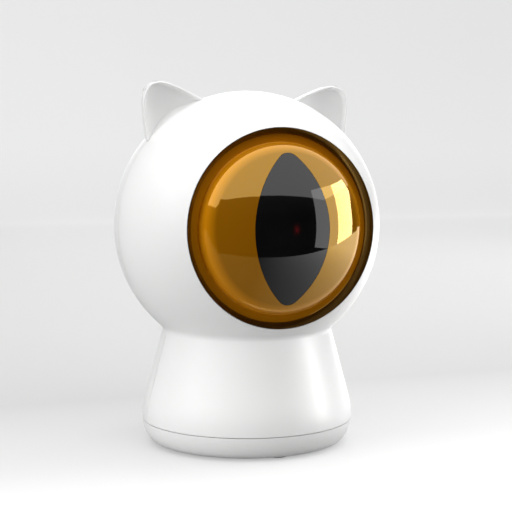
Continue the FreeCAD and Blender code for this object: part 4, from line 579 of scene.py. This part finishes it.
def sweep():
    # floor that curves up into the backdrop
    profile = [(stage["floorFront"], 0.0)]
    curve = stage["wallCurve"]
    back = stage["floorBack"]
    steps = stage["curveSteps"]
    for i in range(steps + 1):
        angle = math.pi / 2 * i / steps
        profile.append((back - curve + curve * math.sin(angle), curve - curve * math.cos(angle)))
    profile.append((back, stage["wallHeight"]))
    half = stage["floorHalfWidth"]
    points = [(side * half, y, z) for y, z in profile for side in (-1, 1)]
    faces = [(2 * i, 2 * i + 1, 2 * i + 3, 2 * i + 2) for i in range(len(profile) - 1)]
    made = newPiece("sweep", points, faces, pale("paleSweep", stage["floorColour"]))


sweep()

# a lamp with lights False shows in mirrors only, one with shines False gives light only
lamps = {
    "ceiling": {
        "at": (0.3, -1.3, 1.5), "to": (0.3, -1.3, 0.0),
        "size": (8.0, 4.6), "glow": 1.85, "lights": False,
    },
    "overhead": {
        "at": (0.2, 0.4, 1.6), "to": (0.2, 0.4, 0.0),
        "size": (3.4, 2.0), "glow": 0.78, "shines": False,
    },
    "rightBox": {
        "at": (1.068, -0.452, 0.16), "to": (0.0, 0.0, 0.08),
        "size": (0.3, 0.75), "glow": 9.5, "lights": False,
    },
    "rightEdge": {
        "at": (0.879, -0.746, 0.16), "to": (0.0, 0.0, 0.08),
        "size": (0.4, 0.75), "glow": 2.3, "lights": False,
    },
    "leftSoft": {
        "at": (-1.2, -0.2, 0.35), "to": (0.0, 0.0, 0.1),
        "size": (0.9, 0.7), "glow": 4.2, "shines": False,
    },
    "frontSoft": {
        "at": (0.5, -1.3, 1.3), "to": (0.0, 0.0, 0.1),
        "size": (1.2, 1.0), "glow": 1.4, "shines": False,
    },
    "rightSoft": {
        "at": (1.1, 0.1, 0.35), "to": (0.0, 0.0, 0.1),
        "size": (0.9, 0.8), "glow": 3.3, "shines": False,
    },
}


def softLamp(name, spec):
    lamp = bpy.data.lights.new(name, "AREA")
    lamp.shape = "RECTANGLE"
    lamp.size, lamp.size_y = spec["size"]
    lamp.energy = spec["glow"] * math.pi * lamp.size * lamp.size_y
    made = bpy.data.objects.new(name, lamp)
    made.location = spec["at"]
    towards = Vector(spec["to"]) - Vector(spec["at"])
    made.rotation_euler = towards.to_track_quat("-Z", "Y").to_euler()
    made.visible_camera = False
    made.visible_diffuse = spec.get("lights", True)
    made.visible_glossy = spec.get("shines", True)
    bpy.context.scene.collection.objects.link(made)


for name, spec in lamps.items():
    softLamp(name, spec)


def studioWorld():
    world = bpy.data.worlds.new("studio")
    bpy.context.scene.world = world
    world.use_nodes = True
    tree = world.node_tree
    sky = tree.nodes["Background"]
    sky.inputs["Color"].default_value = stage["sky"] + (1.0,)
    towards = addNode(tree, "TexCoord").outputs["Generated"]
    height = addNode(tree, "SeparateXYZ", {"Vector": towards}).outputs["Z"]
    plain = spread(tree, height, *stage["skyGlow"], *stage["skyReach"])
    mirrored = spread(tree, height, *stage["mirrorSkyGlow"], *stage["skyReach"])
    glossy = addNode(tree, "LightPath").outputs["Is Glossy Ray"]
    strength = addNode(tree, "Mix", {"Factor": glossy, 2: plain, 3: mirrored}).outputs[0]
    tree.links.new(strength, sky.inputs["Strength"])


studioWorld()

camera = {
    "at": (-0.1590, -0.4103, 0.1040),
    "pitch": 4.437,
    "heading": 21.745,
    "lens": 81.31,
    "sensor": 36.0,
    "clip": (0.01, 50.0),
}


def placeCamera():
    lens = bpy.data.cameras.new("camera")
    lens.lens = camera["lens"]
    lens.sensor_width = camera["sensor"]
    lens.clip_start, lens.clip_end = camera["clip"]
    made = bpy.data.objects.new("camera", lens)
    made.location = camera["at"]
    tilt = math.radians(90 - camera["pitch"])
    made.rotation_euler = (tilt, 0.0, -math.radians(camera["heading"]))
    bpy.context.scene.collection.objects.link(made)
    bpy.context.scene.camera = made


placeCamera()
bpy.context.scene.view_settings.view_transform = "Standard"
print("stage and camera ready")
